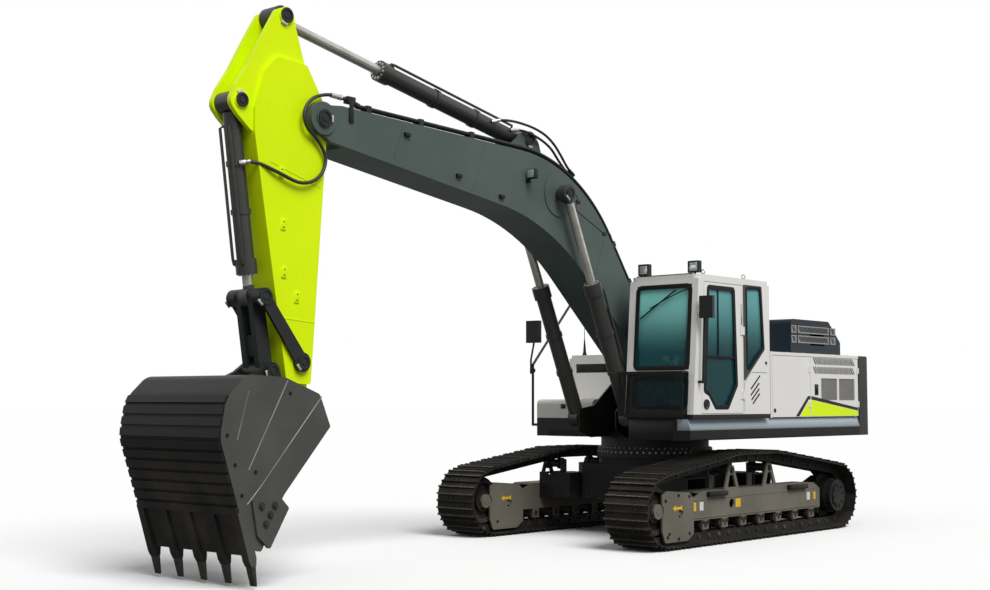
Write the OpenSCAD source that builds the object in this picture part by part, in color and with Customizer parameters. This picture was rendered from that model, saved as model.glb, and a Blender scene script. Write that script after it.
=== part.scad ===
// Crawler excavator. Millimetres, +X forward, +Y to the cab side, +Z up,
// origin on the swing axis at the ground.

/* [Undercarriage] */
// Distance between front idler and rear sprocket axles
tumbler_distance = 4040; // [3800:1:4300]
// Distance between the middles of the two tracks
track_gauge = 2590; // [2500:1:2700]
// Width of a track shoe
shoe_width = 600; // [500:1:620]
// Shoes in each track loop
shoe_count = 47; // [44:1:50]
// Radius of the pin line round idler and sprocket
tumbler_radius = 340; // [320:1:350]
// Height of the grousers above the shoe plate
grouser_height = 30; // [20:1:36]
// Height of the axles of the carrier rollers
carrier_z = 851; // [830:1:870]
// Distance between the two carrier rollers of one side
carrier_spacing = 880; // [800:1:1000]
// Number of bottom rollers on each side
roller_count = 8; // [6:1:9]
// Height of the track frame's box
frame_box_height = 330; // [300:1:345]

/* [Upper structure] */
// Height of the underside of the upper structure
deck_bottom = 1215; // [1205:1:1240]
// Height of the floor line where cab and panels start
sill_z = 1470; // [1455:1:1490]
// Half width of the upper structure
half_width = 1490; // [1450:1:1540]
// Height of the side panels' top edge
panel_top = 2300; // [2250:1:2350]
// Radius that the tail of the counterweight sweeps
tail_radius = 3400; // [3320:1:3480]
// Depth of the counterweight from front face to tail
weight_depth = 645; // [600:1:690]
// Height of the engine hood above the panels
hood_height = 470; // [420:1:520]

/* [Cab] */
// Distance from the swing axis to the cab's rear wall
cab_rear = 320; // [300:1:340]
// Distance from the swing axis to the cab's front at the floor
cab_front = 1410; // [1370:1:1450]
// How far the windscreen leans back over its height
cab_lean = 140; // [100:1:180]
// Width of the cab
cab_width = 980; // [940:1:990]
// Height of the cab from sill to roof
cab_height = 1700; // [1650:1:1750]
// Thickness of the cab's walls and door
cab_wall = 50; // [40:1:60]
// Place of the door's hinge edge
door_rear = 305; // [280:1:330]
// Width of the door
door_width = 925; // [880:1:935]

/* [Boom] */
// Place of the boom foot pin ahead of the swing axis
boom_foot_x = 150; // [100:1:200]
// Height of the boom foot pin
boom_foot_z = 2000; // [1960:1:2040]
// Distance from boom foot pin to boom tip pin
boom_length = 6374; // [6200:1:6500]
// Slope of the line from foot to tip
boom_angle = 22.7; // [20:0.1:25]
// Half width of the boom
boom_half = 270; // [250:1:285]
// Plate thickness of boom and arm
plate = 14; // [10:1:18]

/* [Arm] */
// Distance from boom tip pin to bucket pin
arm_length = 2848; // [2780:1:2920]
// Direction of the arm below the horizontal
arm_angle = 85.8; // [82:0.1:88]
// Half width of the arm
arm_half = 200; // [190:1:215]

/* [Bucket] */
// Direction from bucket pin to tooth tip below the horizontal
bucket_angle = 59.5; // [58.8:0.1:60]
// Distance from bucket pin to tooth tip
bucket_reach = 1846; // [1820:1:1852]
// Half width of the bucket
bucket_half = 755; // [700:1:800]
// Number of teeth
tooth_count = 5; // [4:1:6]
// Number of wear bars across the back
wear_bars = 11; // [8:1:12]

/* [Cylinders] */
// Radius of a boom cylinder's barrel
boom_barrel_r = 92; // [85:1:100]
// Radius of the arm cylinder's barrel
arm_barrel_r = 95; // [85:1:100]
// Radius of the bucket cylinder's barrel
bucket_barrel_r = 85; // [75:1:90]
// Radius of the piston rods
rod_r = 52; // [45:1:58]
// Offset of a boom cylinder from the boom's middle
boom_cyl_y = 395; // [392:1:405]

/* [Hidden] */
$fn = 48;

// finishes
lime = [0.62, 0.75, 0.10];
off_white = [0.90, 0.90, 0.87];
charcoal = [0.16, 0.17, 0.18];
mid_grey = [0.33, 0.34, 0.34];
steel = [0.72, 0.73, 0.75];
track_steel = [0.24, 0.21, 0.19];
pane = [0.30, 0.45, 0.42];
black = [0.08, 0.08, 0.09];

// running gap between bodies that move, and around panels
gap = 0.5;
seam = 6;

// front face of the counterweight, and the seam between the side doors
weight_front = tail_radius - weight_depth;
door_split = -weight_front + 1340;

// local frames: XZ outlines are drawn as [x, z] pairs
function turn(p, a) = [p[0] * cos(a) - p[1] * sin(a), p[0] * sin(a) + p[1] * cos(a)];
boom_foot = [boom_foot_x, boom_foot_z];
boom_tip = boom_foot + turn([boom_length, 0], boom_angle);
bucket_pin = boom_tip + turn([arm_length, 0], -arm_angle);
function on_boom(p) = boom_foot + turn(p, boom_angle);
function on_arm(p) = boom_tip + turn(p, -arm_angle);
function on_bucket(p) = bucket_pin + turn(p, -bucket_angle);

// pins of the front, each in the frame of the piece that carries it
boom_eye = boom_length * [0.44164, 0.17336];
arm_foot = boom_length * [0.53655, 0.23737];
arm_eye = [-938, 470];
bucket_foot = [20, 936];
rocker_foot = [arm_length - 426, 18];
bucket_ear = [-112, 461];
boom_cyl_foot = [1120, 1470];
rocker_length = 775;
link_length = 718;

// where rocker and link meet, from the two lengths
rocker_at = on_arm(rocker_foot);
ear_at = on_bucket(bucket_ear);
span_v = ear_at - rocker_at;
span_d = norm(span_v);
span_a = (rocker_length * rocker_length - link_length * link_length + span_d * span_d) / (2 * span_d);
span_h = sqrt(rocker_length * rocker_length - span_a * span_a);
link_pin = rocker_at + span_v * span_a / span_d + [-span_v[1], span_v[0]] * span_h / span_d;

module in_boom() translate([boom_foot[0], 0, boom_foot[1]]) rotate([0, -boom_angle, 0]) children();
module in_arm() translate([boom_tip[0], 0, boom_tip[1]]) rotate([0, arm_angle, 0]) children();
module in_bucket() translate([bucket_pin[0], 0, bucket_pin[1]]) rotate([0, bucket_angle, 0]) children();
function heading(p, q) = atan2(q[1] - p[1], q[0] - p[0]);
module along(p, q) translate([p[0], 0, p[1]]) rotate([0, -heading(p, q), 0]) children();

// outline in XZ drawn out from y0 to y1
module side(y0, y1) translate([0, y1, 0]) rotate([90, 0, 0]) linear_extrude(y1 - y0) children();
module both_sides() {
  children();
  mirror([0, 1, 0]) children();
}
module bar_y(p, r, y0, y1) translate([p[0], y1, p[1]]) rotate([90, 0, 0]) cylinder(h = y1 - y0, r = r);
module block(x0, x1, y0, y1, z0, z1) translate([x0, y0, z0]) cube([x1 - x0, y1 - y0, z1 - z0]);
module rod_between(p, q, r) {
  d = q - p;
  translate(p)
    rotate([0, acos(d[2] / norm(d)), atan2(d[1], d[0])])
      cylinder(h = norm(d), r = r);
}
module pipe_run(points, r) {
  for (i = [0 : len(points) - 2]) rod_between(points[i], points[i + 1], r);
  for (i = [1 : len(points) - 2]) translate(points[i]) sphere(r = r * 1.1);
}

// closed outline with rounded corners, each corner as [x, y, radius]
function unit(v) = v / norm(v);
function corner(p0, p, p1, r, n) =
  r <= 0 ? [p] :
  let (
    a = unit(p0 - p),
    b = unit(p1 - p),
    half = acos(a * b) / 2,
    c = p + unit(a + b) * r / sin(half),
    s = p + a * r / tan(half),
    e = p + b * r / tan(half),
    a0 = atan2(s[1] - c[1], s[0] - c[0]),
    d = atan2(e[1] - c[1], e[0] - c[0]) - a0,
    sweep = d > 180 ? d - 360 : d < -180 ? d + 360 : d
  )
  [for (i = [0 : n]) c + r * [cos(a0 + sweep * i / n), sin(a0 + sweep * i / n)]];
function flat(p) = [p[0], p[1]];
function rounded(c, n = 6) = [
  for (i = [0 : len(c) - 1])
    each corner(
      flat(c[(i + len(c) - 1) % len(c)]), flat(c[i]), flat(c[(i + 1) % len(c)]),
      len(c[i]) > 2 ? c[i][2] : 0, n)
];

// track: the pin line as a belt round four circles, taken anticlockwise from the sprocket
wheel_x = tumbler_distance / 2;
shoe_rise = 64;
link_half = 50;
link_width = 44;
link_offset = 100;
wheel_z = tumbler_radius + shoe_rise + grouser_height;
carrier_line = 130;
carrier_mid = 20;
belt = [
  [-wheel_x, wheel_z, tumbler_radius],
  [wheel_x, wheel_z, tumbler_radius],
  [carrier_mid + carrier_spacing / 2, carrier_z, carrier_line],
  [carrier_mid - carrier_spacing / 2, carrier_z, carrier_line]
];
function ring_item(list, i) = list[(i + len(list)) % len(list)];
function belt_dir(i) =
  let (a = ring_item(belt, i), b = ring_item(belt, i + 1), d = flat(b) - flat(a))
  atan2(d[1], d[0]) - 90 + asin((a[2] - b[2]) / norm(d));
function up_from(a, b) = b < a - 0.001 ? up_from(a, b + 360) : b;
function polar(r, a) = [r * cos(a), r * sin(a)];
belt_arc_step = 4;
belt_line = [
  for (i = [0 : 3])
    let (
      c = ring_item(belt, i + 1),
      a0 = belt_dir(i),
      a1 = up_from(a0, belt_dir(i + 1)),
      n = max(1, ceil((a1 - a0) / belt_arc_step))
    )
    for (k = [0 : n]) flat(c) + polar(c[2], a0 + (a1 - a0) * k / n)
];
belt_run = [for (i = 0, s = 0; i <= len(belt_line); s = s + norm(ring_item(belt_line, i + 1) - ring_item(belt_line, i)), i = i + 1) s];
belt_length = belt_run[len(belt_line)];
function belt_find(s, i = 0) = belt_run[i + 1] >= s ? i : belt_find(s, i + 1);
function belt_point(s) =
  let (
    t = s >= belt_length ? s - belt_length : s,
    i = belt_find(t),
    f = (t - belt_run[i]) / (belt_run[i + 1] - belt_run[i])
  )
  ring_item(belt_line, i) * (1 - f) + ring_item(belt_line, i + 1) * f;
pins = [for (k = [0 : shoe_count - 1]) belt_point(belt_length * k / shoe_count)];
function outward(v) = unit([v[1], -v[0]]);
function pin_normal(k) = outward(ring_item(pins, k + 1) - ring_item(pins, k - 1));
shoe_top = shoe_rise;
shoe_tip = shoe_rise + grouser_height;
function shoe_profile(hp) = [
  [-hp + 8, shoe_top], [-hp + 15, shoe_tip], [-hp + 27, shoe_tip], [-hp + 34, shoe_top],
  [-16, shoe_top], [-6, shoe_tip - 3], [6, shoe_tip - 3], [16, shoe_top],
  [hp - 34, shoe_top], [hp - 27, shoe_tip], [hp - 15, shoe_tip], [hp - 8, shoe_top]
];
shoe_outline = [
  for (k = [0 : shoe_count - 1])
    let (a = pins[k], b = ring_item(pins, k + 1), m = (a + b) / 2, t = unit(b - a), n = outward(b - a))
    for (q = shoe_profile(norm(b - a) / 2)) m + t * q[0] + n * q[1]
];
function pin_ring(h) = [for (k = [0 : shoe_count - 1]) pins[k] + pin_normal(k) * h];

module loop(outer, inner, y0, y1) side(y0, y1) difference() {
  polygon(outer);
  polygon(inner);
}
module track_at(y) {
  color(track_steel) {
    loop(shoe_outline, pin_ring(shoe_rise - 12), y - shoe_width / 2, y + shoe_width / 2);
    for (s = [-1, 1]) {
      c = y + s * link_offset;
      loop(pin_ring(shoe_rise - 10), pin_ring(-link_half), c - link_width / 2, c + link_width / 2);
    }
  }
}
track_y = track_gauge / 2;
module track_left() track_at(track_y);
module track_right() track_at(-track_y);

// wheels inside the track loop
idler_r = tumbler_radius * cos(19.5) - link_half - 3;
roller_r = 88;
rail_top = shoe_tip + link_half;
bottom_z = rail_top + roller_r + gap;
roller_x0 = -wheel_x + 560;
roller_x1 = wheel_x - 560;
frame_bottom = 290;
frame_top = frame_bottom + frame_box_height;
frame_rear = -1680;
frame_front = 1360;
frame_half = 155;
axle_r = 38;

module idler_one() {
  p = [wheel_x, wheel_z];
  difference() {
    union() {
      bar_y(p, idler_r, -link_offset - link_width / 2, link_offset + link_width / 2);
      bar_y(p, idler_r + 30, -link_offset + link_width / 2 + 8, link_offset - link_width / 2 - 8);
      bar_y(p, 95, -frame_half + 22, frame_half - 22);
    }
    bar_y(p, axle_r + 0.3, -400, 400);
    for (s = [0, 1]) mirror([0, s, 0]) difference() {
      bar_y(p, idler_r - 45, 70, 400);
      bar_y(p, 130, 60, 410);
    }
  }
}
module idlers() color(track_steel) for (s = [-1, 1]) translate([0, s * track_y, 0]) idler_one();

sprocket_teeth = 21;
sprocket_root = idler_r - 6;
sprocket_tip = idler_r + 36;
module sprocket_one() {
  p = [-wheel_x, wheel_z];
  step = 360 / sprocket_teeth;
  difference() {
    union() {
      side(-36, 36) translate(p) polygon([
        for (k = [0 : sprocket_teeth - 1])
          for (q = [[-0.42, 0], [-0.14, 1], [0.14, 1], [0.42, 0]])
            polar(q[1] > 0 ? sprocket_tip : sprocket_root, (k + q[0]) * step)
      ]);
      bar_y(p, 222, 36, 150);
      bar_y(p, 207, 150, 235);
      bar_y(p, 150, 235, 250);
      bar_y(p, 190, -120, -36);
    }
    for (k = [0 : 9]) bar_y(p + polar(180, k * 36), 9, 229, 240);
  }
}
module sprockets() color(mid_grey) {
  translate([0, track_y, 0]) sprocket_one();
  mirror([0, 1, 0]) translate([0, track_y, 0]) sprocket_one();
}
function roller_x(k) = roller_x0 + (roller_x1 - roller_x0) * k / (roller_count - 1);
module roller_one(p, r) {
  for (s = [-1, 1]) bar_y(p, r, s * link_offset - link_width / 2 - 6, s * link_offset + link_width / 2 + 6);
  bar_y(p, r - 22, -link_offset, link_offset);
  bar_y(p, axle_r, -frame_half + 2, frame_half - 2);
}
module track_rollers() color(track_steel)
  for (s = [-1, 1], k = [0 : roller_count - 1])
    translate([0, s * track_y, 0]) roller_one([roller_x(k), bottom_z], roller_r);
carrier_r = carrier_line - link_half - gap;
module carrier_rollers() color(track_steel) both_sides()
  for (k = [2, 3]) translate([0, track_y, 0]) difference() {
    roller_one(flat(belt[k]), carrier_r - 6);
    bar_y(flat(belt[k]), axle_r + 0.3, -frame_half, -link_offset - link_width / 2 - 6);
  }

// track frame: hollow box with roller lugs, idler yoke, guard and drive bracket
module frame_side() {
  box_outline = rounded([
    [frame_rear, frame_bottom, 20], [frame_front, frame_bottom, 20],
    [frame_front, frame_top - 90, 30], [frame_front - 260, frame_top, 60],
    [frame_rear + 160, frame_top, 60], [frame_rear, frame_top - 80, 30]
  ]);
  difference() {
    side(-frame_half, frame_half) polygon(box_outline);
    block(frame_rear + 40, frame_front - 40, -frame_half + 20, frame_half - 20, frame_bottom - 1, frame_top - 20);
    bar_y([wheel_x - 1550, frame_bottom + 160], 55, frame_half - 60, frame_half + 10);
  }
  // lugs that carry the bottom rollers
  for (k = [0 : roller_count - 1], s = [0, 1]) mirror([0, s, 0]) difference() {
    block(roller_x(k) - 62, roller_x(k) + 62, frame_half - 20, frame_half, bottom_z - 55, frame_bottom + 1);
    bar_y([roller_x(k), bottom_z], axle_r + 0.3, frame_half - 60, frame_half + 40);
  }
  // yoke that carries the idler
  for (s = [0, 1]) mirror([0, s, 0]) difference() {
    union() {
      block(frame_front - 60, wheel_x + 70, frame_half - 20, frame_half, wheel_z - 70, wheel_z + 70);
      bar_y([wheel_x, wheel_z], 85, frame_half - 20, frame_half + 12);
    }
    bar_y([wheel_x, wheel_z], axle_r, frame_half - 60, frame_half + 40);
  }
  bar_y([wheel_x, wheel_z], axle_r, -frame_half - 18, frame_half + 18);
  // guard blocks beside the idler
  for (s = [0, 1]) mirror([0, s, 0]) difference() {
    side(frame_half, frame_half + 24) polygon(rounded([
      [frame_front - 30, 150, 30], [frame_front + 90, 75, 40], [wheel_x - 110, 75, 40],
      [wheel_x - 60, 200, 30], [wheel_x - 60, wheel_z + 180, 30], [wheel_x - 160, wheel_z + 225, 40],
      [frame_front + 60, wheel_z + 190, 30], [frame_front - 30, wheel_z + 120, 30]
    ]));
    bar_y([wheel_x - 420, wheel_z - 40], 52, frame_half - 10, frame_half + 60);
    bar_y([wheel_x - 200, 165], 24, frame_half - 10, frame_half + 60);
    bar_y([wheel_x, wheel_z], 90, frame_half - 10, frame_half + 60);
  }
  // drive bracket on the inner side
  difference() {
    union() {
      side(-frame_half, -frame_half + 24) polygon(rounded([
        [frame_rear + 30, frame_bottom + 4, 10], [frame_rear + 30, frame_top - 60, 20],
        [-wheel_x, wheel_z + 250, 20], [-wheel_x - 180, wheel_z + 150, 90],
        [-wheel_x - 180, wheel_z - 150, 90], [-wheel_x, wheel_z - 250, 20]
      ]));
      bar_y([-wheel_x, wheel_z], 205, -frame_half - 45, -frame_half + 24);
    }
    bar_y([-wheel_x, wheel_z], 150, -frame_half - 20, -frame_half + 60);
  }
  // posts of the carrier rollers
  for (k = [2, 3]) difference() {
    block(belt[k][0] - 55, belt[k][0] + 55, -frame_half, -frame_half + 22, frame_top - 60, belt[k][1] + 55);
    bar_y(flat(belt[k]), axle_r - 4, -frame_half - 40, -frame_half + 60);
  }
  for (k = [2, 3]) bar_y(flat(belt[k]), axle_r, -frame_half - 4, -link_offset - link_width / 2 - 7);
}
module track_frame_left() color(mid_grey) translate([0, track_y, 0]) frame_side();
module track_frame_right() color(mid_grey) mirror([0, 1, 0]) translate([0, track_y, 0]) frame_side();

// carbody: drum under the slewing ring, box and four legs
ring_r = 740;
ring_bottom = 985;
leg_x = 760;
module carbody() color(charcoal) {
  difference() {
    union() {
      translate([0, 0, 700]) cylinder(h = ring_bottom - 700, r = ring_r - 20);
      translate([0, 0, ring_bottom - 30]) cylinder(h = 30, r = ring_r + 15);
      linear_extrude(880) polygon(rounded([
        [-820, -560, 60], [-560, -820, 60], [560, -820, 60], [820, -560, 60],
        [820, 560, 60], [560, 820, 60], [-560, 820, 60], [-820, 560, 60]
      ]));
    }
    translate([0, 0, -1]) cylinder(h = 440, r = 2000);
    translate([0, 0, -1]) cylinder(h = 2000, r = 420);
    translate([0, 0, -1]) linear_extrude(840) polygon([[-700, -500], [-500, -700], [500, -700], [700, -500], [700, 500], [500, 700], [-500, 700], [-700, 500]]);
  }
  for (sx = [-1, 1], sy = [0, 1]) mirror([0, sy, 0]) difference() {
    translate([sx * leg_x, 0, 0]) block(-210, 210, 640, track_y - frame_half, 440, frame_top + 140);
    translate([sx * leg_x, 0, 0]) block(-190, 190, 690, track_y - frame_half + 10, 460, frame_top + 120);
    translate([sx * leg_x, track_y - frame_half - 300, frame_top + 40]) rotate([25, 0, 0]) block(-400, 400, 150, 900, 0, 700);
  }
}
module slew_ring() color(black) difference() {
  union() {
    translate([0, 0, ring_bottom]) cylinder(h = 95, r = ring_r);
    translate([0, 0, ring_bottom + 95]) cylinder(h = deck_bottom - gap - ring_bottom - 95, r = ring_r - 45);
  }
  translate([0, 0, ring_bottom - 1]) cylinder(h = 400, r = ring_r - 180);
}

// revolving frame: ring plate, deck, side rails, boom brackets
deck_top = deck_bottom + 75;
rail_in = half_width - 240;
bracket_in = boom_half + 4;
bracket_out = bracket_in + 20;
foot_boss_r = 75;
foot_boss_y = bracket_out + 30;
cyl_eye_half = boom_cyl_y - foot_boss_y - 1;
module side_rail(x0, x1) {
  difference() {
    translate([x0, 0, 0]) rotate([90, 0, 90]) linear_extrude(x1 - x0) polygon([
      [rail_in, deck_bottom], [half_width - 12, deck_bottom], [half_width, deck_bottom + 14],
      [half_width, sill_z - 120], [half_width - 38, sill_z - 6], [rail_in, sill_z - 6]
    ]);
    block(x0 + 20, x1 - 20, rail_in - 10, half_width - 60, deck_bottom + 20, sill_z - 30);
  }
}
right_front = 600;
module revolving_frame() color(mid_grey) {
  difference() {
    union() {
      block(-weight_front, 640, -rail_in - 10, rail_in + 10, deck_bottom, deck_top);
      block(600, cab_front - 60, cab_inner_y + 15, rail_in + 10, deck_bottom, deck_top);
      translate([0, 0, deck_bottom]) cylinder(h = 60, r = ring_r - 10);
    }
    translate([0, 0, deck_bottom - 1]) cylinder(h = 200, r = 300);
  }
  side_rail(-weight_front, cab_front);
  mirror([0, 1, 0]) side_rail(-weight_front, tank_front);
  // brackets of boom foot and boom cylinders
  both_sides() difference() {
    side(bracket_in, bracket_out) polygon(rounded([
      [door_split - 145, deck_top - 5], [boom_cyl_foot[0] - 130, deck_bottom + 4, 40],
      [boom_cyl_foot[0] + 110, deck_bottom + 90, 60], [boom_cyl_foot[0] + 120, boom_cyl_foot[1] + 110, 90],
      [boom_cyl_foot[0] - 190, boom_cyl_foot[1] + 150, 200], [boom_foot[0] + 210, boom_foot[1] + 40, 160],
      [boom_foot[0] + 40, boom_foot[1] + 200, 130], [boom_foot[0] - 190, boom_foot[1] + 130, 130],
      [boom_foot[0] - 420, sill_z + 130, 200], [door_split - 145, deck_top + 120]
    ]));
    bar_y(boom_foot, 100, 100, 600);
  }
  both_sides() {
    bar_y(boom_foot, 160, bracket_in, bracket_out + 36);
    bar_y(boom_foot, 90, bracket_out + 35, bracket_out + 50);
    bar_y(boom_cyl_foot, foot_boss_r, bracket_in, foot_boss_y);
    bar_y(boom_cyl_foot, 58, foot_boss_y - 1, boom_cyl_y + cyl_eye_half + 3);
    bar_y(boom_cyl_foot, 85, boom_cyl_y + cyl_eye_half + 2, boom_cyl_y + cyl_eye_half + 14);
  }
  // cab mounts
  for (x = [-250, cab_front - 300], y = [cab_inner_y + 90, cab_outer_y - 330])
    translate([x, y, deck_top - 1]) cylinder(h = sill_z - deck_top + 1, r = 70);
}

// counterweight, with lifting holes in its top
module counterweight() color(charcoal) {
  difference() {
    translate([0, 0, deck_bottom]) linear_extrude(panel_top - deck_bottom) polygon(concat(
      [[-weight_front, half_width], [-weight_front, -half_width]],
      rounded_tail()
    ));
    block(-weight_front - 170, -weight_front + 1, -1100, 1100, deck_bottom + 300, panel_top + 1);
    for (s = [-1, 1]) translate([-weight_front - 330, s * 800, panel_top - 60]) cylinder(h = 100, r = 35);
    // rounded lower edge at the tail
    rotate_extrude() translate([tail_radius - 60, deck_bottom - 1]) difference() {
      square([80, 61]);
      translate([0, 61]) circle(r = 60);
    }
    rotate_extrude() translate([tail_radius - 90, panel_top - 90]) difference() {
      square([120, 100]);
      circle(r = 90);
    }
  }
}
tail_corner = 130;
function rounded_tail() = let (
    inner = tail_radius - tail_corner,
    e = asin((half_width - tail_corner) / inner)
  )
  concat(
    [for (k = [0 : 6]) [-inner * cos(e), -inner * sin(e)] + polar(tail_corner, 270 - (90 - e) * k / 6)],
    [for (k = [1 : 23]) polar(tail_radius, 180 + e - 2 * e * k / 24)],
    [for (k = [0 : 6]) [-inner * cos(e), inner * sin(e)] + polar(tail_corner, 180 - e - (90 - e) * k / 6)]
  );

// engine and pump block on the deck
engine_rear = -weight_front + 275;
engine_front = door_split - 185;
module engine_block() color(mid_grey) {
  block(engine_rear, engine_front, -760, 700, deck_top, panel_top - 60);
  block(engine_rear + 180, engine_front - 150, 700, 980, deck_top, panel_top - 300);
  block(engine_rear + 230, engine_front - 250, -1010, -760, deck_top, panel_top - 450);
}

// fixed cover: top decks, bulkheads and the posts between the doors
cover_front = -cab_rear - 80;
cover_rear = -weight_front + 8;
skin = 40;
hood_y = 1200;
hood_x0 = -weight_front - 30;
hood_x1 = door_split - 5;
module body_cover() color(off_white) {
  difference() {
    union() {
      block(cover_rear, cover_front, 560, half_width, panel_top - skin, panel_top);
      block(cover_rear, door_split + 15, -half_width, -560, panel_top - skin, panel_top);
      block(cover_front - skin, cover_front, 560, half_width, sill_z, panel_top);
    }
    block(cover_rear - 10, door_split - 85, -hood_y + 60, hood_y - 60, panel_top - 200, panel_top + 10);
  }
  block(door_split - 25, door_split + 25, half_width - 130, half_width - 50, sill_z - 6, panel_top - skin + 1);
  block(cover_rear, cover_rear + 40, half_width - 130, half_width - 50, sill_z - 6, panel_top - skin + 1);
  block(cover_rear, cover_rear + 40, -half_width + 50, -half_width + 130, sill_z - 6, panel_top - skin + 1);
  block(door_split - 30, door_split + 10, -half_width + 50, -half_width + 130, sill_z - 6, panel_top - skin + 1);
  block(door_split - 85, door_split + 15, 300, 600, panel_top - skin, panel_top);
  block(door_split - 25, door_split + 15, 300, 600, deck_top, panel_top - skin + 1);
}

// side doors; each hinged on its rear edge
hinge_r = 8;
hinge_out = 9;
door_low = sill_z + seam;
door_high = panel_top - skin - seam;
module side_door(x0, x1, hinge_in = 0) {
  y1 = half_width;
  hx = x0 + hinge_in;
  difference() {
    union() {
      block(x0, x1, y1 - 44, y1, door_low, door_high);
      for (z = [door_low + 120, door_high - 200]) {
        translate([hx, y1 + hinge_out, z]) cylinder(h = 80, r = hinge_r);
        block(hx, hx + 45, y1 - 1, y1 + hinge_out - 2, z, z + 80);
      }
    }
    block(x0 + 40, x1 - 40, y1 - 60, y1 - 12, door_low + 40, door_high - 40);
    children();
  }
}
front_door_x0 = door_split + 3;
front_door_x1 = cover_front - skin - seam;
rear_door_x0 = cover_rear + 20;
rear_door_x1 = door_split - 3;
module slot(x, z, w, h, lean) translate([x, half_width - 60, z]) rotate([0, lean, 0]) block(-w / 2, w / 2, 0, 100, -h / 2, h / 2);
module service_door_front() color(off_white) side_door(front_door_x0, front_door_x1, 14);
module service_door_rear() color(off_white) side_door(rear_door_x0, rear_door_x1) {
  for (k = [0 : 7], row = [0, 1]) slot(rear_door_x1 - 110 - k * 145, panel_top - 100 - row * 120, 24, 80, 38);
  for (k = [0, 1]) block(rear_door_x0 + 100 + k * 490, rear_door_x0 + 540 + k * 490, half_width - 60, half_width + 1, 1690, 1980);
}
module pump_door() color(off_white) mirror([0, 1, 0]) side_door(rear_door_x0, door_split - 35) {
  for (k = [0 : 7]) slot(rear_door_x1 - 150 - k * 140, panel_top - 180, 24, 120, 38);
}

// engine hood: shell open below, with grille windows, hinged at its front edge
hood_z0 = panel_top + gap;
hood_z1 = hood_z0 + hood_height;
module hood_form(i) {
  side(-hood_y + i, hood_y - i) polygon(rounded([
    [hood_x0 + i, hood_z0 - (i > 0 ? 10 : 0)], [hood_x1 - i, hood_z0 - (i > 0 ? 10 : 0)],
    [hood_x1 - 10 - i, hood_z1 - i, 60],
    [hood_x0 + 330 + i / 2, hood_z1 - i, 80], [hood_x0 + i, hood_z0 + 190, 40]
  ]));
}
module engine_hood() color(charcoal) {
  difference() {
    hood_form(0);
    hood_form(25);
    for (s = [0, 1]) mirror([0, s, 0])
      side(hood_y - 60, hood_y + 10) polygon(rounded([
        [hood_x0 + 430, hood_z0 + 130, 30], [hood_x0 + 850, hood_z0 + 130, 30],
        [hood_x0 + 850, hood_z1 - 90, 30], [hood_x0 + 480, hood_z1 - 90, 30]
      ]));
  }
  for (s = [-1, 1]) translate([hood_x1 + 12, s * 700 - 60, hood_z0 + 14]) rotate([-90, 0, 0]) cylinder(h = 120, r = 14);
}

// right-hand tank and tool box
tank_front = -105;
module fuel_tank() color(off_white) difference() {
  block(door_split + 20, tank_front, -half_width, -560, sill_z - 6, panel_top);
  block(door_split + 30, tank_front - 10, -half_width + 10, -570, sill_z + 4, panel_top - 10);
  block(tank_front - 40, tank_front + 1, -half_width + 110, -820, panel_top - 240, panel_top - 120);
  translate([0, -half_width, panel_top]) rotate([0, 90, 0]) translate([0, 0, -1500]) block(-40, 40, -40, 40, 0, 1500);
}
box_top = 1700;
lid_bottom = 1453;
lid_back = -92;
module tool_box() color(black) difference() {
  block(tank_front + 3, right_front, -half_width, -560, deck_bottom, lid_bottom - gap);
  block(tank_front + 20, right_front - 20, -half_width + 20, -580, deck_bottom + 20, lid_bottom + 20);
  block(tank_front - 10, right_front - 300, -rail_in - 20, -500, deck_bottom - 1, deck_top + 2);
  block(tank_front - 10, 645, -rail_in - 11, -500, deck_bottom - 1, deck_top + 1);
}
module tool_box_lid() color(off_white) {
  difference() {
    side(-half_width, -560) polygon(rounded([
      [lid_back, lid_bottom], [right_front, lid_bottom],
      [right_front, box_top - 20, 60], [right_front - 90, box_top, 50], [lid_back, box_top]
    ]));
    side(-half_width + 8, -568) polygon(rounded([
      [lid_back + 8, lid_bottom - 5], [right_front - 8, lid_bottom - 5],
      [right_front - 8, box_top - 24, 55], [right_front - 90, box_top - 8, 45], [lid_back + 8, box_top - 8, 16]
    ]));
  }
  for (y = [-1350, -800]) translate([lid_back + 8, y, box_top + 4]) rotate([-90, 0, 0]) cylinder(h = 90, r = 10);
}

// handrails: bent round tube
tube_r = 17;
rail_y = -half_width - 28;
rail_top_z = panel_top + 780;
stalk_x = right_front - 20;
clamp_out = 34;
module handrails() color(black) {
  pipe_run([
    [stalk_x, -half_width, sill_z - 110], [stalk_x, rail_y - 60, sill_z - 110],
    [stalk_x, rail_y - 60, 2160], [stalk_x - 140, rail_y - 50, 2320], [-230, rail_y, rail_top_z],
    [door_split + 240, rail_y, rail_top_z], [door_split + 240, rail_y, panel_top - 90],
    [door_split + 240, -half_width, panel_top - 90]
  ], tube_r);
  pipe_run([
    [cab_front - 120, cab_outer_y, 1900], [cab_front - 120, cab_outer_y + 65, 1900],
    [cab_front - 165, cab_outer_y + 65, 2690], [cab_front - 165, cab_outer_y, 2690]
  ], tube_r);
}
module mirror_head(p, w, h) translate(p) rotate([0, 0, 8]) difference() {
  block(-30, 30, -w / 2, w / 2, -h / 2, h / 2);
  block(-60, -18, -w / 2 + 15, w / 2 - 15, -h / 2 + 15, h / 2 - 15);
}
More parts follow.
